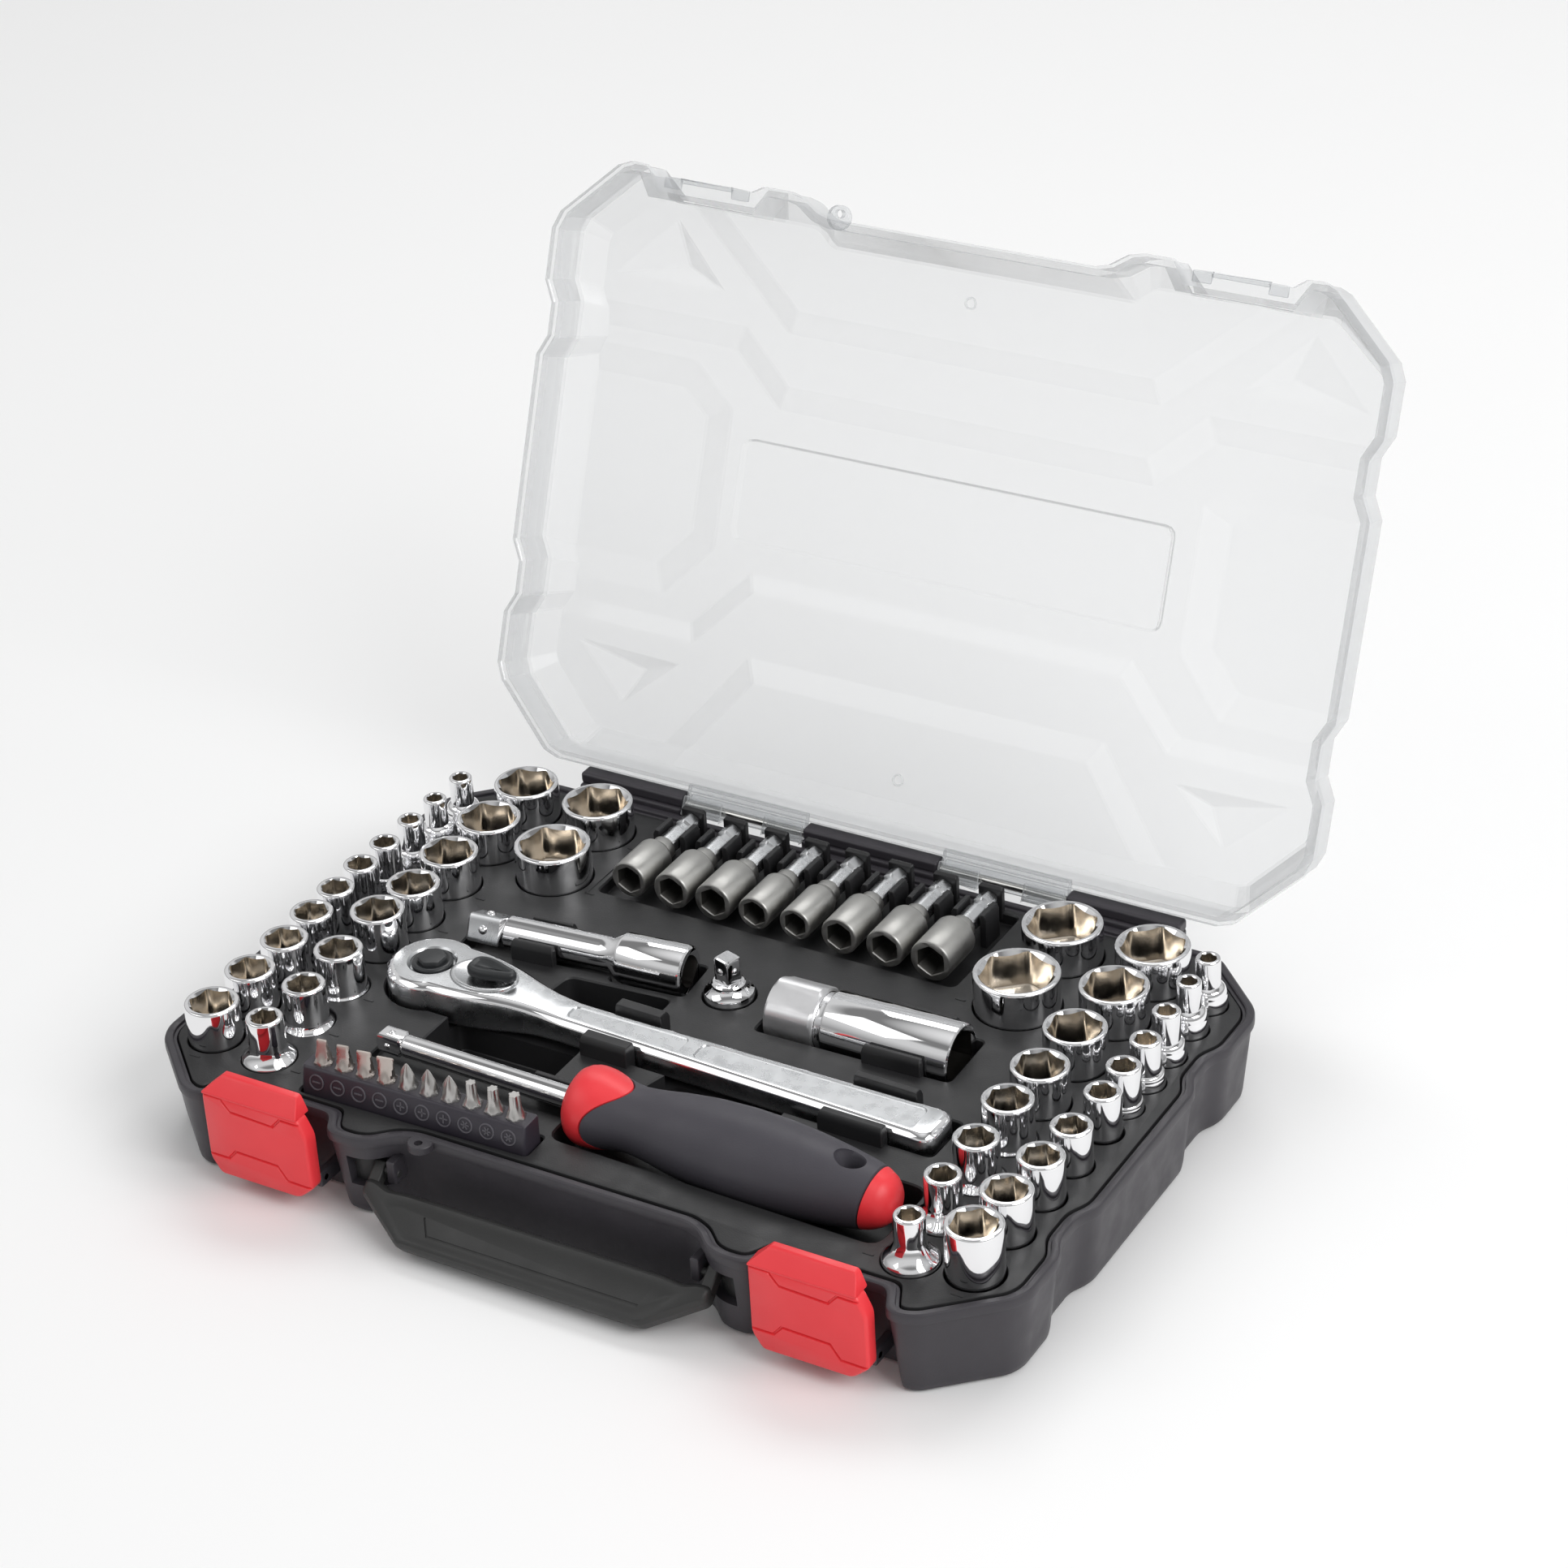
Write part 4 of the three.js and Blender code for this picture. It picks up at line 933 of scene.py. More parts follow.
def ratchet_body():
    length, head = RATCHET.length, 14.6
    stations = [(-head * math.cos(a), head * math.sin(a)) for a in
                [math.radians(7 + 111 * k / 20) for k in range(21)]]
    stations += [(13, 12.65), (19, 11.9), (24, 11), (29, 9.7), (34, 8.4), (39, 7.4), (44, 6.8), (52, 6.6),
                 (70, 6.8), (100, 7.2), (140, 7.8), (length - 7, 8.5), (length - 4, 8.6), (length - 1.8, 7.7),
                 (length - 0.5, 6), (length, 4.2)]
    edge = [Vector((x, -w)) for x, w in stations] + [Vector((x, w)) for x, w in reversed(stations)]
    count = len(stations)

    def top(x):
        return 7.8 - 3.2 * ease((x - 26) / 30)

    def bottom(x):
        return -5.4 + 0.8 * ease((x - 26) / 20)

    shape = Shape()
    rings = []
    for distance, level, part in ((2.2, 0, 0), (0.8, 0.8, 0), (0, 2.2, 0), (0, -1.9, 1), (0.3, -1.35, 1),
                                  (1.5, -0.35, 1), (2.0, -0.08, 1), (2.4, 0, 1)):
        moved = inset(edge, distance)
        height = top if part else bottom
        rings.append(shape.ring([(p.x, p.y, height(edge[i].x) + level) for i, p in enumerate(moved)]))
    for i, (a, b) in enumerate(zip(rings, rings[1:])):
        shape.skin(a, b, 1 if i >= 3 else 0)
    for i in range(count - 1):
        far = 2 * count - 1 - i
        low, high = rings[0], rings[-1]
        shape.face((high[i], high[i + 1], high[far - 1], high[far]))
        shape.face((low[far], low[far - 1], low[i + 1], low[i]))
    made = shape.finish("ratchet_steel", None, [SATIN, CHROME], RATCHET_PLACE, smooth=False)
    dish = [circle(7.2, 5.6), circle(7.4, 5.9), circle(7.4, 7.2), circle(8.3, 8.1)]
    cutters = [cutter(dish, SATIN, RATCHET_PLACE)]
    frame_edge = rounded(plan((98, -3.9), (length - 7.5, -5.2), (length - 7.5, 5.2), (98, 3.9)), 2.4, 5)
    neck_edge = rounded(plan((52, -2.9), (93, -3.8), (93, 3.8), (52, 2.9)), 2.0, 5)
    for points, depth in ((frame_edge, 0.5), (neck_edge, 0.35)):
        wide = inset(points, -0.3)
        rings = [at(inset(points, 0.3), 4.6 - depth), at(points, 4.6 - depth + 0.25),
                 at(wide, 4.9), at(wide, 9)]
        cutters.append(cutter(rings, SATIN, RATCHET_PLACE))
    cut(made, cutters)
    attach(made, "ratchet")
    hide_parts("ratchet_body")


def ratchet_boss():
    boss = Shape()
    rows = []
    for z, grow in ((5, 0), (8.0, 0), (8.35, -0.15), (8.6, -0.6), (8.6, -1.6), (8.45, -1.9)):
        rows.append([(LEVER_X + (11.6 + grow) * math.cos(a), (8.6 + grow) * math.sin(a), z)
                     for a in angles(56)])
    boss.loft(rows)
    boss.finish("ratchet_boss", "ratchet", [SATIN], RATCHET_PLACE, angle=50)


def reversing_lever():
    lever = Shape()
    half = [(-4.6, -2.2), (-3.6, -3.6), (-1.6, -4.4), (1, -4.5), (4, -3.9), (8, -2.7), (11, -1.9), (12, -0.9)]
    blade = rounded(plan(*half, *[(x, -y) for x, y in reversed(half)]), 1.2, 3)
    levels = ((0.8, 9.0), (0.2, 9.4), (0, 10.2), (0, 11.6), (0.3, 12.2), (1.0, 12.6), (1.9, 12.5),
              (2.3, 12.1))
    lever.loft([at(inset(blade, distance), z) for distance, z in levels])
    lever.loft([circle(3.6, 6.2, segments=32), circle(3.6, 9.4, segments=32)])
    place = RATCHET_PLACE @ Matrix.Translation((LEVER_X, 0, 0))
    made = lever.finish("reversing_lever_black", "reversing_lever", [LEVER], place, angle=50)
    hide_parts("reversing_lever")


def release_button():
    button = Shape()
    button.turn([(-1.4, 4.3), (6.4, 4.3)], 40)
    button.turn([(6.4, 6.5), (7.4, 6.6), (7.9, 6.4), (8.2, 5.9), (8.1, 5.2), (7.9, 4.9)], 48)
    button.loft([hexagon(8.4, 7.6, 0, 0.95), hexagon(8.4, 9.2, 0, 0.95), hexagon(8, 9.5, 0, 0.95),
                 hexagon(7.2, 9.6, 0, 0.95)])
    made = button.finish("release_button_black", "release_button", [LEVER], RATCHET_PLACE, angle=40)
    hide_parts("release_button")


def drive_square():
    drive = Shape()
    drive.turn([(-7.6, 6.4), (-7.4, 6.9), (-7, 7), (-6, 7), (-5.8, 6.8)], 48)
    drive.loft([square(7.6, -18.4), square(9.0, -17.9), square(9.5, -17.2), square(9.5, -7.2)])
    tip = turned(math.pi / 2, "Y")
    ball(drive, (13.2, 0, 4.0), 1.7, tip)
    made = drive.finish("drive_square_steel", "drive_square", [SATIN], RATCHET_PLACE, angle=30)
    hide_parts("drive_square")


GRIP_PROFILE = (
    (COLLAR - 2, 8.2), (COLLAR - 1.4, 9.6), (COLLAR, 11.2), (COLLAR + 2, 12.3), (COLLAR + 4.5, 12.6),
    (COLLAR + 8, 12.3), (COLLAR + 12, 11.2), (COLLAR + 16, 10.3), (COLLAR + 20, 10.1), (COLLAR + 26, 10.8),
    (COLLAR + 34, 12.2), (COLLAR + 44, 13.4), (COLLAR + 56, 14), (COLLAR + 68, 13.8), (COLLAR + 80, 12.9),
    (COLLAR + 90, 11.6), (COLLAR + 98, 10.3), (COLLAR + 102, 9.3), (COLLAR + 105, 7.8), (COLLAR + 107, 5.8),
    (COLLAR + 108, 3.4),
)


def grip_radius(z):
    for (z0, r0), (z1, r1) in zip(GRIP_PROFILE, GRIP_PROFILE[1:]):
        if z <= z1:
            return r0 + (r1 - r0) * max(0.0, (z - z0) / (z1 - z0))
    return GRIP_PROFILE[-1][1]


def driver_grip():
    length = DRIVER.length

    def front(a):
        """Where the soft grip starts: close behind the collar at the sides, further along on top."""
        return COLLAR + 6.5 + 11.5 * abs(math.cos(a)) ** 2.2

    def back(a):
        return length - 7.5 + 1.6 * math.cos(a)

    def ring(level, sunk=0.0):
        return [((grip_radius(z) - sunk) * math.cos(a), (grip_radius(z) - sunk) * math.sin(a), z)
                for a, z in ((a, level(a)) for a in angles(64))]

    shape = Shape()
    rows = []
    for k in range(11):
        t = k / 10
        rows.append((ring(lambda a, t=t: COLLAR - 2 + (front(a) - COLLAR + 2) * t), 1))
    rows.append((ring(lambda a: front(a) + 0.3, 0.7), 1))
    for k in range(29):
        t = k / 28
        rows.append((ring(lambda a, t=t: front(a) + 0.7 + (back(a) - front(a) - 1.4) * t, -0.1), 0))
    rows.append((ring(lambda a: back(a) - 0.3, 0.6), 0))
    for k in range(9):
        t = k / 8
        rows.append((ring(lambda a, t=t: back(a) + (length - back(a)) * t), 1))
    shape.stack(rows, 1, 1)
    made = shape.finish("driver_grip", None, [GRIP, RED], DRIVER.matrix, smooth=False)
    oval = [DRIVER.at(length - 15 + 4.2 * math.cos(a), 3.1 * math.sin(a)) for a in angles(40)]
    wide = inset(oval, -0.9)
    hole = [at(oval, DRIVER.z - 16), at(oval, DRIVER.z + 9.6),
            at(wide, DRIVER.z + 10.6), at(wide, DRIVER.z + 16)]
    cut(made, [cutter(hole, GRIP)])
    shade(made.data, 48)
    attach(made, "driver")
    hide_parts("driver_handle")


def driver_shaft():
    shaft = Shape()
    rows = [square(5.2, 0, 0), square(6.2, 0.7, 0), square(6.3, 8.2, 0), circle(3.1, 8.8),
            circle(3.5, 9.6), circle(3.6, 10), circle(3.6, COLLAR + 20)]
    shaft.loft(rows)
    four_balls(shaft, 4.2, 2.7, 1.2)
    made = shaft.finish("driver_shaft_chrome", "driver", [CHROME], DRIVER.matrix, angle=30)
    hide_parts("driver_shaft")


def bit_along(number):
    return 2 + (RAIL.length - 4) / BITS * (number + 0.5)


def bit_rail():
    rows = [(4.35, -4.35, 24), (4.75, -4.75, 24.4), (4.75, -4.75, 31), (4.75, -3.6, 37.2), (4.5, -3.3, 37.7),
            (4.1, -2.9, 38)]
    shape = Shape()
    shape.loft([at(rounded(RAIL.plate(0.3, RAIL.length - 0.3, front, back), 1.4), z)
                for back, front, z in rows])
    made = shape.finish("bit_rail_body", "bit_rail", [RAIL_BLACK], bevel=0.3, angle=40)
    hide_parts("bit_rail")
    icons = Shape()
    slope = math.atan2(1.15, 6.2)
    spin = math.atan2(RAIL.ahead.y, RAIL.ahead.x)
    for number in range(BITS):
        face = RAIL.at(bit_along(number), -4.25)
        place = Matrix.Translation((face.x, face.y, 33.7)) @ turned(spin) @ turned(math.pi / 2 - slope, "X")
        profile = ((2.6, 0.0), (2.55, 0.28), (2.2, 0.28), (2.15, 0.0))
        rings = [circle(radius, z, segments=32) for radius, z in profile]
        icons.loft([[place @ Vector(p) for p in ring] for ring in rings], ends=False)
        bars = 1 + (number >= FIRST_CROSS) + (number >= FIRST_STAR)
        for k in range(bars):
            mark = place @ turned(math.pi * k / bars)
            bar = rectangle(-1.4, 1.4, -0.22, 0.22)
            icons.loft([[mark @ Vector(p) for p in at(bar, z)] for z in (-0.1, 0.26)])
    icons.finish("bit_rail_icons", "bit_rail", [ICON], angle=30)
    for number in range(BITS):
        bit(number, spin)


def slotted_tip(number):
    width = 3.4 + 0.75 * number
    blade = ((40.6, 4.6, 3.2), (42.4, (width + 4.6) / 2, 2.1), (44.6, width, 1.25), (45.6, width, 0.95),
             (45.95, width - 0.3, 0.75))
    shank = [hexagon(5.6, 36, 0.2), hexagon(5.6, 38.6, 0.2), circle(2.5, 39.4)]
    return shank + [flat_ring(across, thick, z) for z, across, thick in blade]


def lobed_tip(number):
    """A cross or a star: valleys between the lobes that deepen towards the tip."""
    cross = number < FIRST_STAR
    size = 2.9 if cross else 2.15 + 0.12 * (number - FIRST_STAR)
    lobes, depth, tip, power = (4, 0.5, 0.12, 0.6) if cross else (6, 0.24, 0.85, 1)
    rows = [hexagon(5.6, 36, 0.2), hexagon(5.6, 38.4, 0.2), circle(2.6, 39.2), circle(min(size, 2.5), 40)]
    for z, share, cutting in ((41.2, 1.0, 0.45), (42.6, 0.96, 0.9), (44.4, (1 + tip) / 2, 1), (45.9, tip, 1)):
        ring = []
        for a in angles(SEGMENTS):
            valley = (0.5 - 0.5 * math.cos(lobes * a)) ** power
            radius = size * 0.86 * share * (1 - depth * cutting * valley)
            ring.append((radius * math.cos(a), radius * math.sin(a), z))
        rows.append(ring)
    return rows


def bit(number, spin):
    slotted = number < FIRST_CROSS
    centre = RAIL.at(bit_along(number), 0.8)
    place = Matrix.Translation((centre.x, centre.y, 0)) @ turned(spin + 0.12)
    shape = Shape()
    shape.loft(slotted_tip(number) if slotted else lobed_tip(number))
    look = BLADE if slotted else BIT
    shape.finish(f"bit_{number + 1}", "bit_rail", [look], place, angle=28)


def flat_ring(width, thick, z):
    """A blade's section: a rectangle with softened corners, with as many points as a circle."""
    points = []
    for a in angles(SEGMENTS):
        c, s = math.cos(a), math.sin(a)
        reach = 1 / max(abs(c) / (width / 2), abs(s) / (thick / 2))
        round_reach = 1 / math.sqrt((c / (width / 2)) ** 2 + (s / (thick / 2)) ** 2)
        reach = reach * 0.75 + round_reach * 0.25
        points.append((reach * c, reach * s, z))
    return points


# ---- tray ------------------------------------------------
def pocket(points, floor, edge=0.5):
    """The rings of a cutter for a recess with an eased bottom and a chamfer where it meets the deck."""
    return [at(inset(points, 0.3), floor), at(points, floor + 0.3), at(points, DECK - edge),
            at(inset(points, -edge - 0.1), DECK + 0.1)]


def disc(radius, x, y, segments=40):
    return plan(*[(x + radius * math.cos(a), y + radius * math.sin(a)) for a in angles(segments)])


def tray_recesses():
    e, r, d = EXTENSION, RATCHET, DRIVER
    return [
        (rounded(e.plate(-1.5, 20, -7, 7), 2), RIM - 7),
        (e.plate(19, e.length - 24, -6.4, 6.4), RIM - 7.1),
        (rounded(e.plate(e.length - 24.4, e.length + 2, -9, 9), 2), RIM - 7.2),
        (rounded(SPARK.plate(-2, SPARK.length + 2, -12, 12), 2), RIM - 12),
        (disc(15.6, *r.start, 56), RIM - 6),
        (disc(8, *r.start), RIM - 19.4),
        (r.plate(2, 26, -13.8, 13.8), RIM - 6.1),
        (r.plate(25, 44, -11.4, 11.4), RIM - 6.2),
        (rounded(r.plate(30, r.length + 1.4, -9.6, 9.6), 2), RIM - 6.3),
        (d.plate(-2, COLLAR, -4.6, 4.6), RIM - 3),
        (rounded(d.plate(COLLAR - 3, d.length + 1.6, -14.8, 14.8), 5), RIM - 12),
        (rounded(RAIL.plate(-0.6, RAIL.length + 0.6, -5.35, 5.35), 1.6), RIM - 6.3),
        (rounded(plan((-71, 50), (59.5, 50), (59.5, 94.5), (-71, 94.5)), 2.5), RIM - 4.6),
        (rounded(plan((-74, -50), (-27, -50), (-27, -26), (-74, -26)), 3), RIM - 16),
        (rounded(plan((-54, -13), (-16, -13), (-16, 6.6), (-52, 3.6)), 3), RIM - 16.1),
        (rounded(plan((-1, -43), (45, -45), (45, -26), (4, -26)), 3), RIM - 16.2),
    ]


def tray(wells):
    edge = rounded(inset(CASE_PLAN, 4.3), 2.4)
    low_edge = rounded(inset(CASE_PLAN, DRAFT + 2.7), 2.4)
    shape = Shape()
    shape.loft([at(low_edge, 3.2), at(edge, RIM - 4), at(edge, DECK - 0.5),
                at(inset(edge, 0.15), DECK - 0.15), at(inset(edge, 0.5), DECK)])
    made = shape.finish("tray_moulding", None, [TRAY], smooth=False)
    shape = Shape()
    for centre, radius, floor in wells + [(ADAPTER, 8.7, RIM - 13.7)]:
        shape.loft(pocket(disc(radius, centre.x, centre.y), floor, 0.25))
    cutters = [shape.finish("cutter", None, [TRAY], smooth=False)]
    cutters += [cutter(pocket(points, floor), TRAY) for points, floor in tray_recesses()]
    cut(made, cutters)
    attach(made, "case")
    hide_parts("socket_tray")


def tool_clips():
    both = (-1, 1)
    fingers = (
        (EXTENSION, 18, 33, 6.2, 6.2, both), (RATCHET, 63, 80, 7.5, 6.2, both),
        (RATCHET, 147, 169, 8.8, 5.8, both), (SPARK, 36, 56, 11.2, 5.4, both), (DRIVER, 53, 69, 4.7, 5, (1,)),
    )
    shape = Shape()
    for tool, start, stop, half, rise, sides in fingers:
        for side in sides:
            outer_side = max(half + 2.6, 12.5 if tool is RATCHET else 0)
            low, high = sorted((side * half, side * outer_side))
            rows = []
            for z, trim in ((DECK - 4, 0), (RIM + rise - 2.2, 0), (RIM + rise - 0.9, 0.5), (RIM + rise, 1.2)):
                inner, outer = (low, high - trim) if side > 0 else (low + trim, high)
                rows.append(at(tool.plate(start + trim * 0.4, stop - trim * 0.4, inner, outer), z))
            shape.loft(rows)
    shape.finish("tool_clips", "case", [CLIP], bevel=0.35)


def nut_setter_clips():
    shape = Shape()
    for number in range(1, NUT_SETTERS + 1):
        low, high = box_mm(f"nut_setter_{number}")
        x = (low.x + high.x) / 2
        for side in (-1, 1):
            a, b = sorted((x + side * 3.9, x + side * 6.3))
            rows = []
            for z, trim in ((RIM - 5, 0), (NUT_Z + 1.6, 0), (NUT_Z + 3.4, 0.8)):
                inner, outer = (a, b - trim) if side > 0 else (a + trim, b)
                rows.append(at(rectangle(inner, outer, 79.5, 88.5), z))
            shape.loft(rows)
        stop = rectangle(x - 4.2, x + 4.2, 94.2, 96.4)
        shape.loft([at(stop, RIM - 3), at(stop, NUT_Z + 3.8), at(inset(stop, 0.7), NUT_Z + 4.6)])
    shape.finish("nut_setter_clips", "case", [CLIP], bevel=0.3)


# ---- latches and handle ----------------------------------
LATCH_AXIS = (-95.6, 9.6)
LATCH_LINES = (
    ((-19.5, 34.2), (-12, 34.2), (-8.8, 30.4), (6.9, 29.8), (9.9, 33.2), (17.6, 33.0)),
    ((-19.5, 12.6), (-11.5, 12.6), (-8.6, 15.9), (6.9, 15.5), (10.1, 11), (19.5, 10.8)),
)


def ribbon(points, width):
    """A closed plan outline that follows a line of points at a constant width."""
    sides = []
    for i, p in enumerate(points):
        before = (p - points[i - 1]).normalized() if i else (points[1] - p).normalized()
        after = (points[i + 1] - p).normalized() if i + 1 < len(points) else before
        sides.append(mitre(before, after, width / 2))
    return [p - s for p, s in zip(points, sides)] + [p + s for p, s in reversed(list(zip(points, sides)))]


def latch(name, x):
    half = LATCH_HALF
    face = rounded(plan((-half + 3.5, 5.6), (half - 5.5, 5.6), (half, 10.4), (half, 28.5), (half - 3, 34.7),
                        (-half, 34.7), (-half, 11)), 1.6, 4)
    stand = Matrix.Translation((x, 0, 0)) @ turned(math.pi / 2, "X")
    shape = Shape()
    levels = ((0.8, 99.0), (0.2, 99.2), (0, 99.6), (0, 102.9), (0.12, 103.4), (0.45, 103.9), (0.9, 104.2))
    shape.loft([at(inset(face, distance), depth) for distance, depth in levels])
    plate = shape.finish(name + "_plate", None, [RED], stand, smooth=False)
    bands = [plan(*line) for line in LATCH_LINES]
    grooves = [[at(ribbon(band, 0.35), 103.55), at(ribbon(band, 1.1), 104.35)] for band in bands]
    cut(plate, [cutter(groove, RED, stand) for groove in grooves])
    shade(plate.data, 35)
    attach(plate, name)
    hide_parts(name)
    head = Shape()
    rows = []
    for z, x0, x1, y0 in ((34.2, -half + 0.1, half - 3.1, -104.05), (34.9, -half + 0.1, half - 3.1, -104.05),
                          (39.2, -half + 4.8, half - 4.8, -100.4), (39.8, -half + 5.4, half - 5.4, -99.7),
                          (40, -half + 6.2, half - 6.2, -99.0)):
        rows.append(at(rectangle(x0, x1, y0, -97.4), z))
    head.loft(rows)
    head.finish(name + "_head", name, [RED], Matrix.Translation((x, 0, 0)), 0.5, 3)
    web = 13.4
    y, z = LATCH_AXIS
    blocks(name + "_web", name, RED, [(x - web, x + web, -99.3, y, z - 2.5, z + 2.5)], bevel=0.5)
    bar = Shape()
    half_bar = [(0, 1.0), (0.3, 1.35), (4.5, 1.4), (4.6, 2.3), (4.9, 2.6)]
    bar.turn(half_bar + [(36 - z, radius) for z, radius in reversed(half_bar)], 32)
    place = lying(Vector((x - 18, y)), Vector((x + 18, y)), z)
    bar.finish(name + "_pivot", name, [RED], place)


def carry_handle():
    hang = Matrix.Translation(HANDLE_AXIS) @ turned(HANDLE_HANG, "X")
    grip = plan((-42, -21.2), (42, -21.2), (59.8, -9), (59.8, -4), (55.8, -4), (51, -5.6), (44, -5),
                (-44, -5),
                (-51, -5.6), (-55.8, -4), (-59.8, -4), (-59.8, -9))
    shape = Shape()
    edges = ((1.3, 3.5), (0.6, 2.9), (0.15, 2.2), (0, 1.4))
    levels = [(distance, -z) for distance, z in edges] + list(reversed(edges))
    shape.loft([at(rounded(inset(grip, distance), 1.6), z) for distance, z in levels])
    made = shape.finish("carry_handle_grip", None, [HANDLE], hang, smooth=False)
    panel = plan((-39, -18.2), (39, -18.2), (51, -9.8), (44, -8), (-44, -8), (-51, -9.8))
    recess = [at(rounded(inset(panel, distance), 1.6, 3), z) for distance, z in ((0.9, 2.9), (-0.3, 3.9))]
    line = ribbon(plan((-36, -10.4), (-33, -15.6), (40, -15.6)), 0.7)
    groove = [at(line, 2.5), at(line, 3.4)]
    cut(made, [cutter(recess, HANDLE, hang), cutter(groove, HANDLE, hang)])
    shade(made.data, 40)
    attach(made, "carry_handle")
    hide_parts("carry_handle")
    arms = [(side * 57.8 - 2, side * 57.8 + 2, -6.6, 2.2, -2, 2) for side in (-1, 1)]
    blocks("carry_handle_arms", "carry_handle", HANDLE, arms, hang, 0.7, 3)
    for side in (-1, 1):
        pin = Shape()
        pin.turn([(0, 1.0), (0.3, 1.35), (7.7, 1.35), (8, 1.0)], 24)
        start = Vector((55 * side - 4, HANDLE_AXIS.y))
        place = lying(start, start + Vector((1, 0)), HANDLE_AXIS.z)
        label = "left" if side < 0 else "right"
        pin.finish(f"handle_pin_{label}", "carry_handle", [HANDLE], place)


def deck_marks(wells):
    """Plain raised dashes where the tray carries its size labels."""
    shape = Shape()

    def dash(centre, length, width=0.9):
        dx, dy = length / 2, width / 2
        edge = rounded(rectangle(centre.x - dx, centre.x + dx, centre.y - dy, centre.y + dy), 0.4, 2)
        shape.loft([at(edge, DECK - 0.2), at(edge, DECK + 0.12), at(inset(edge, 0.12), DECK + 0.22)])

    for centre, radius, _ in wells:
        inward = -1 if centre.x > 0 else 1
        if abs(centre.x) > 128 and centre.y > -60:
            continue
        if abs(centre.x) > 128:
            dash(centre + Vector((0, -radius - 2.2)), 4)
        else:
            dash(centre + Vector((inward * (radius + 3.2), -radius * 0.35)), 3.6)
    dash(Vector((-73.5, 56)), 0.9, 18)
    shape.finish("deck_marks", "case", [TRAY], angle=30)


# ---- floor, light and camera -----------------------------
CAMERA_AZIMUTH, CAMERA_ELEVATION, CAMERA_ROLL = 31.776, 30.679, -3.396
CAMERA_AIM = Vector((3.8, 47.6, 90.0))
CAMERA_DISTANCE = 1244.2
CAMERA_LENS = 93.07
SOFTBOXES = (
    ("key_light", (1.5, -0.25, 1.3), (0, 0, 0.03), (1.3, 1.0), 20),
    ("fill_light", (-1.1, -0.9, 1.5), (0, 0, 0.03), (1.3, 0.9), 4.5),
    ("back_light", (-0.2, 1.2, 1.75), (0, 0, 0.05), (1.8, 0.7), 13),
)
SKY = (
    (0.0, 0.6), (0.04, 0.42), (0.2, 0.3), (0.36, 0.5), (0.48, 0.62), (0.66, 0.62), (0.74, 0.2), (0.86, 0.2),
    (1.0, 0.8),
)
SKY_STRENGTH = 1.1
FLOOR_REACH, FLOOR_DROP = 6.0, 0.0002


def set_up(name, data, place, rotation):
    """Puts a camera or a light in the scene at a place in metres."""
    made = bpy.data.objects.new(name, data)
    bpy.context.scene.collection.objects.link(made)
    made.location = place
    made.rotation_mode = "QUATERNION"
    made.rotation_quaternion = rotation
    return made


def camera():
    azimuth, elevation = math.radians(CAMERA_AZIMUTH), math.radians(CAMERA_ELEVATION)
    back = Vector((math.sin(azimuth) * math.cos(elevation), -math.cos(azimuth) * math.cos(elevation),
                   math.sin(elevation)))
    data = bpy.data.cameras.new("camera")
    data.lens = CAMERA_LENS
    data.sensor_width = 36
    data.clip_start, data.clip_end = 0.05, 50
    facing = (-back).to_track_quat("-Z", "Y").to_matrix().to_4x4()
    rotation = (facing @ turned(math.radians(CAMERA_ROLL))).to_quaternion()
    place = (CAMERA_AIM + back * CAMERA_DISTANCE) * MM
    bpy.context.scene.camera = set_up("camera", data, place, rotation)


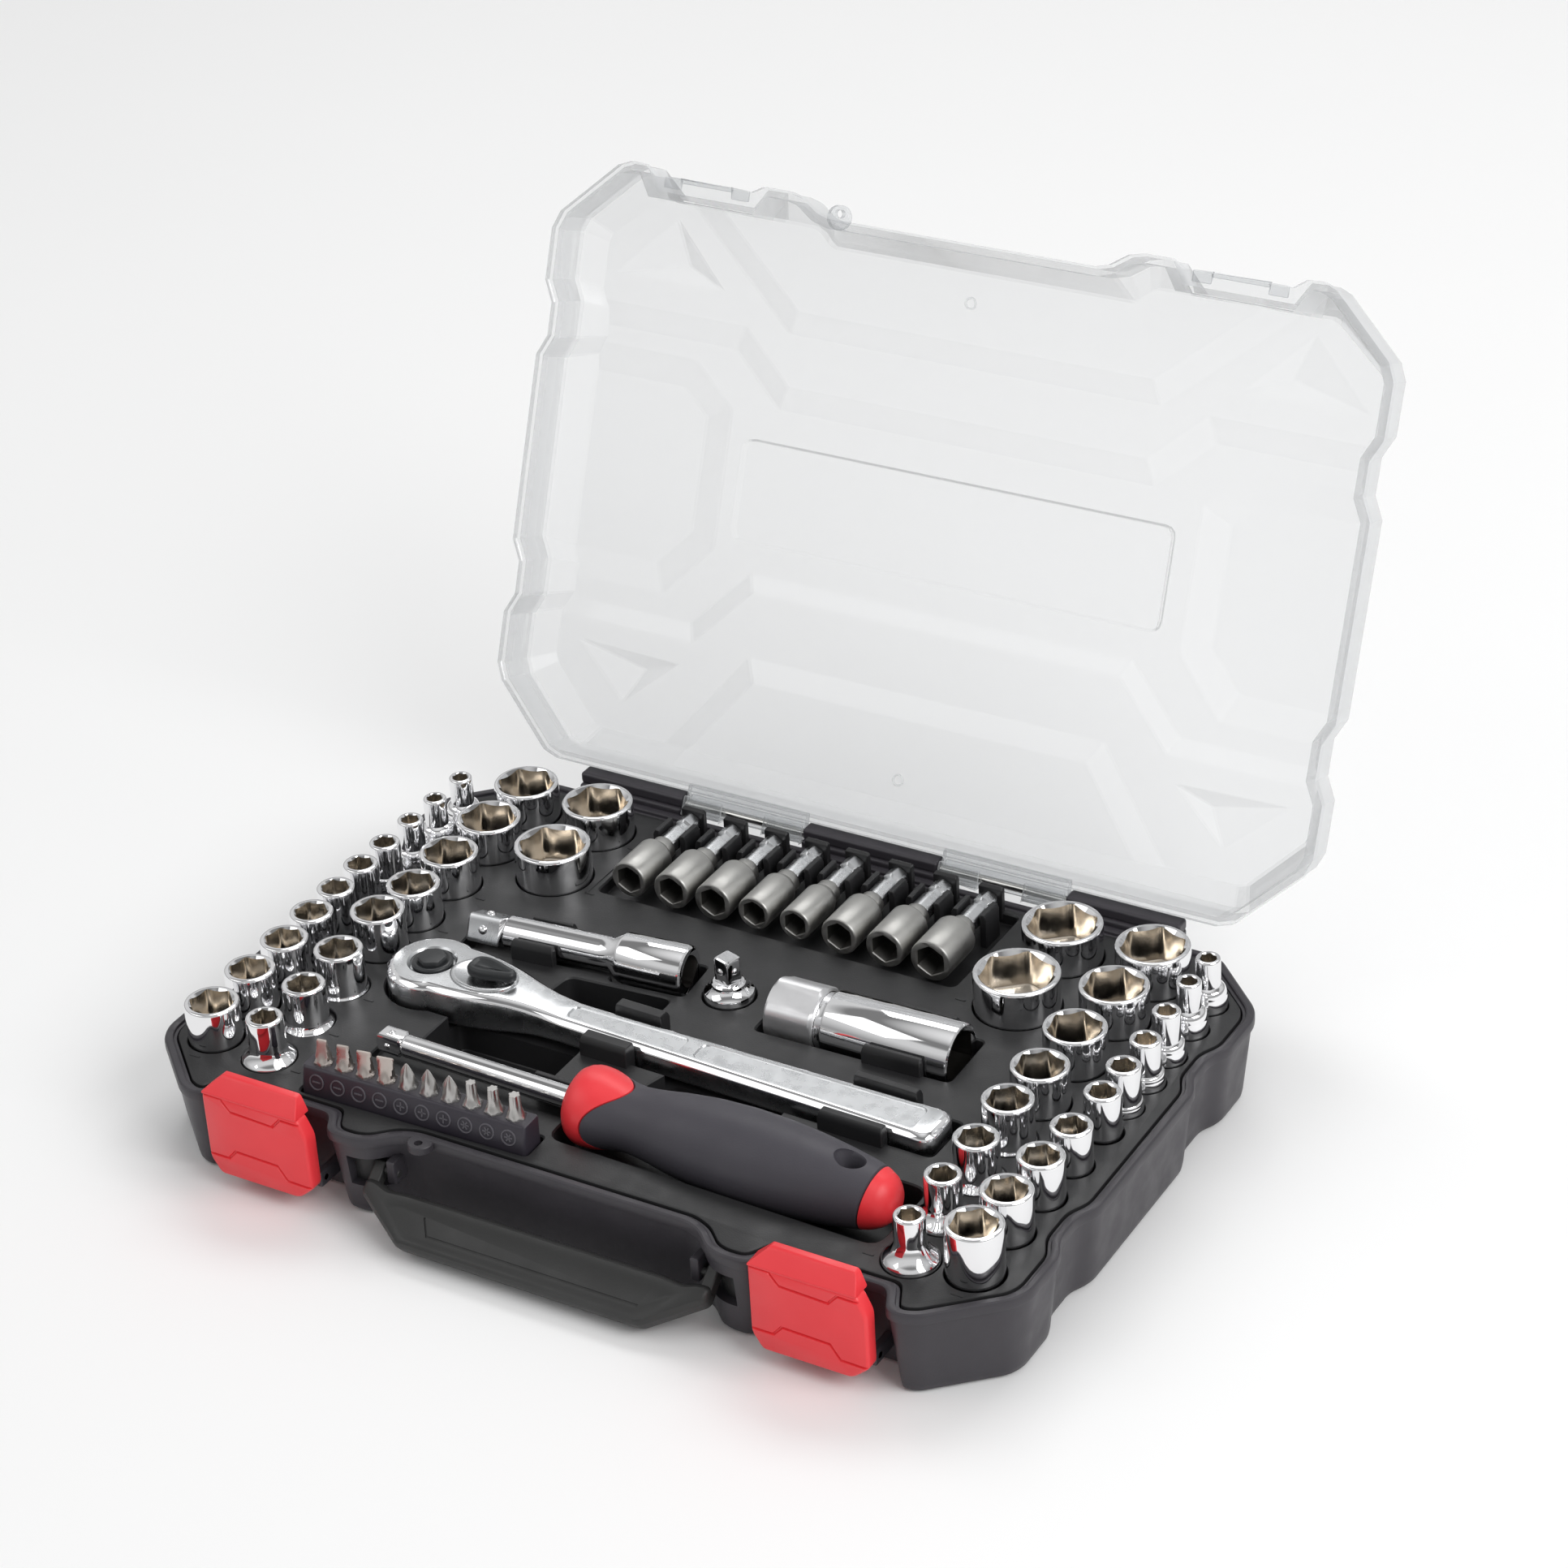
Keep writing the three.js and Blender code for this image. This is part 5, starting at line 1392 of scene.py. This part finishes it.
def softbox(name, place, aim, size, power):
    data = bpy.data.lights.new(name, "AREA")
    data.shape = "RECTANGLE"
    data.size, data.size_y = size
    data.energy = power
    set_up(name, data, place, (Vector(aim) - Vector(place)).to_track_quat("-Z", "Y"))


def paper_floor():
    mesh = bpy.data.meshes.new("floor")
    corners = rectangle(-FLOOR_REACH, FLOOR_REACH, -FLOOR_REACH, FLOOR_REACH)
    mesh.from_pydata(at(corners, 0), [], [(0, 1, 2, 3)])
    paper = Look("floor_paper", (0.92, 0.92, 0.92), 0.7).vary_color((0.9, 0.9, 0.9), 300, 0.5)
    mesh.materials.append(paper.material)
    made = bpy.data.objects.new("floor", mesh)
    bpy.context.scene.collection.objects.link(made)
    made.location.z = -FLOOR_DROP


def sky():
    world = bpy.data.worlds.new("studio")
    world.use_nodes = True
    nodes, links = world.node_tree.nodes, world.node_tree.links
    place = nodes.new("ShaderNodeTexCoord").outputs["Generated"]
    split = nodes.new("ShaderNodeSeparateXYZ")
    links.new(place, split.inputs["Vector"])
    ramp = nodes.new("ShaderNodeValToRGB")
    stops = ramp.color_ramp.elements
    for end in (0, -1):
        stops[end].position, value = SKY[end]
        stops[end].color = (value, value, value, 1)
    for position, value in SKY[1:-1]:
        stops.new(position).color = (value, value, value, 1)
    links.new(split.outputs["Z"], ramp.inputs["Fac"])
    links.new(ramp.outputs["Color"], nodes["Background"].inputs["Color"])
    nodes["Background"].inputs["Strength"].default_value = SKY_STRENGTH
    bpy.context.scene.world = world
    bpy.context.scene.view_settings.view_transform = "Standard"


camera()
paper_floor()
for row in SOFTBOXES:
    softbox(*row)
sky()

case_shell()
case_details()
lid()
lid_knuckles()
lid_catches()
lid_marks()
hinge_pins()
wells = sockets()
tray(wells)
deck_marks(wells)
tool_clips()
nut_setter_clips()
for number in range(1, NUT_SETTERS + 1):
    nut_setter(number)
extension_bar()
drive_adapter()
spark_plug_socket()
ratchet_body()
ratchet_boss()
reversing_lever()
release_button()
drive_square()
driver_grip()
driver_shaft()
bit_rail()
latch("latch_left", -LATCH_X)
latch("latch_right", LATCH_X)
carry_handle()
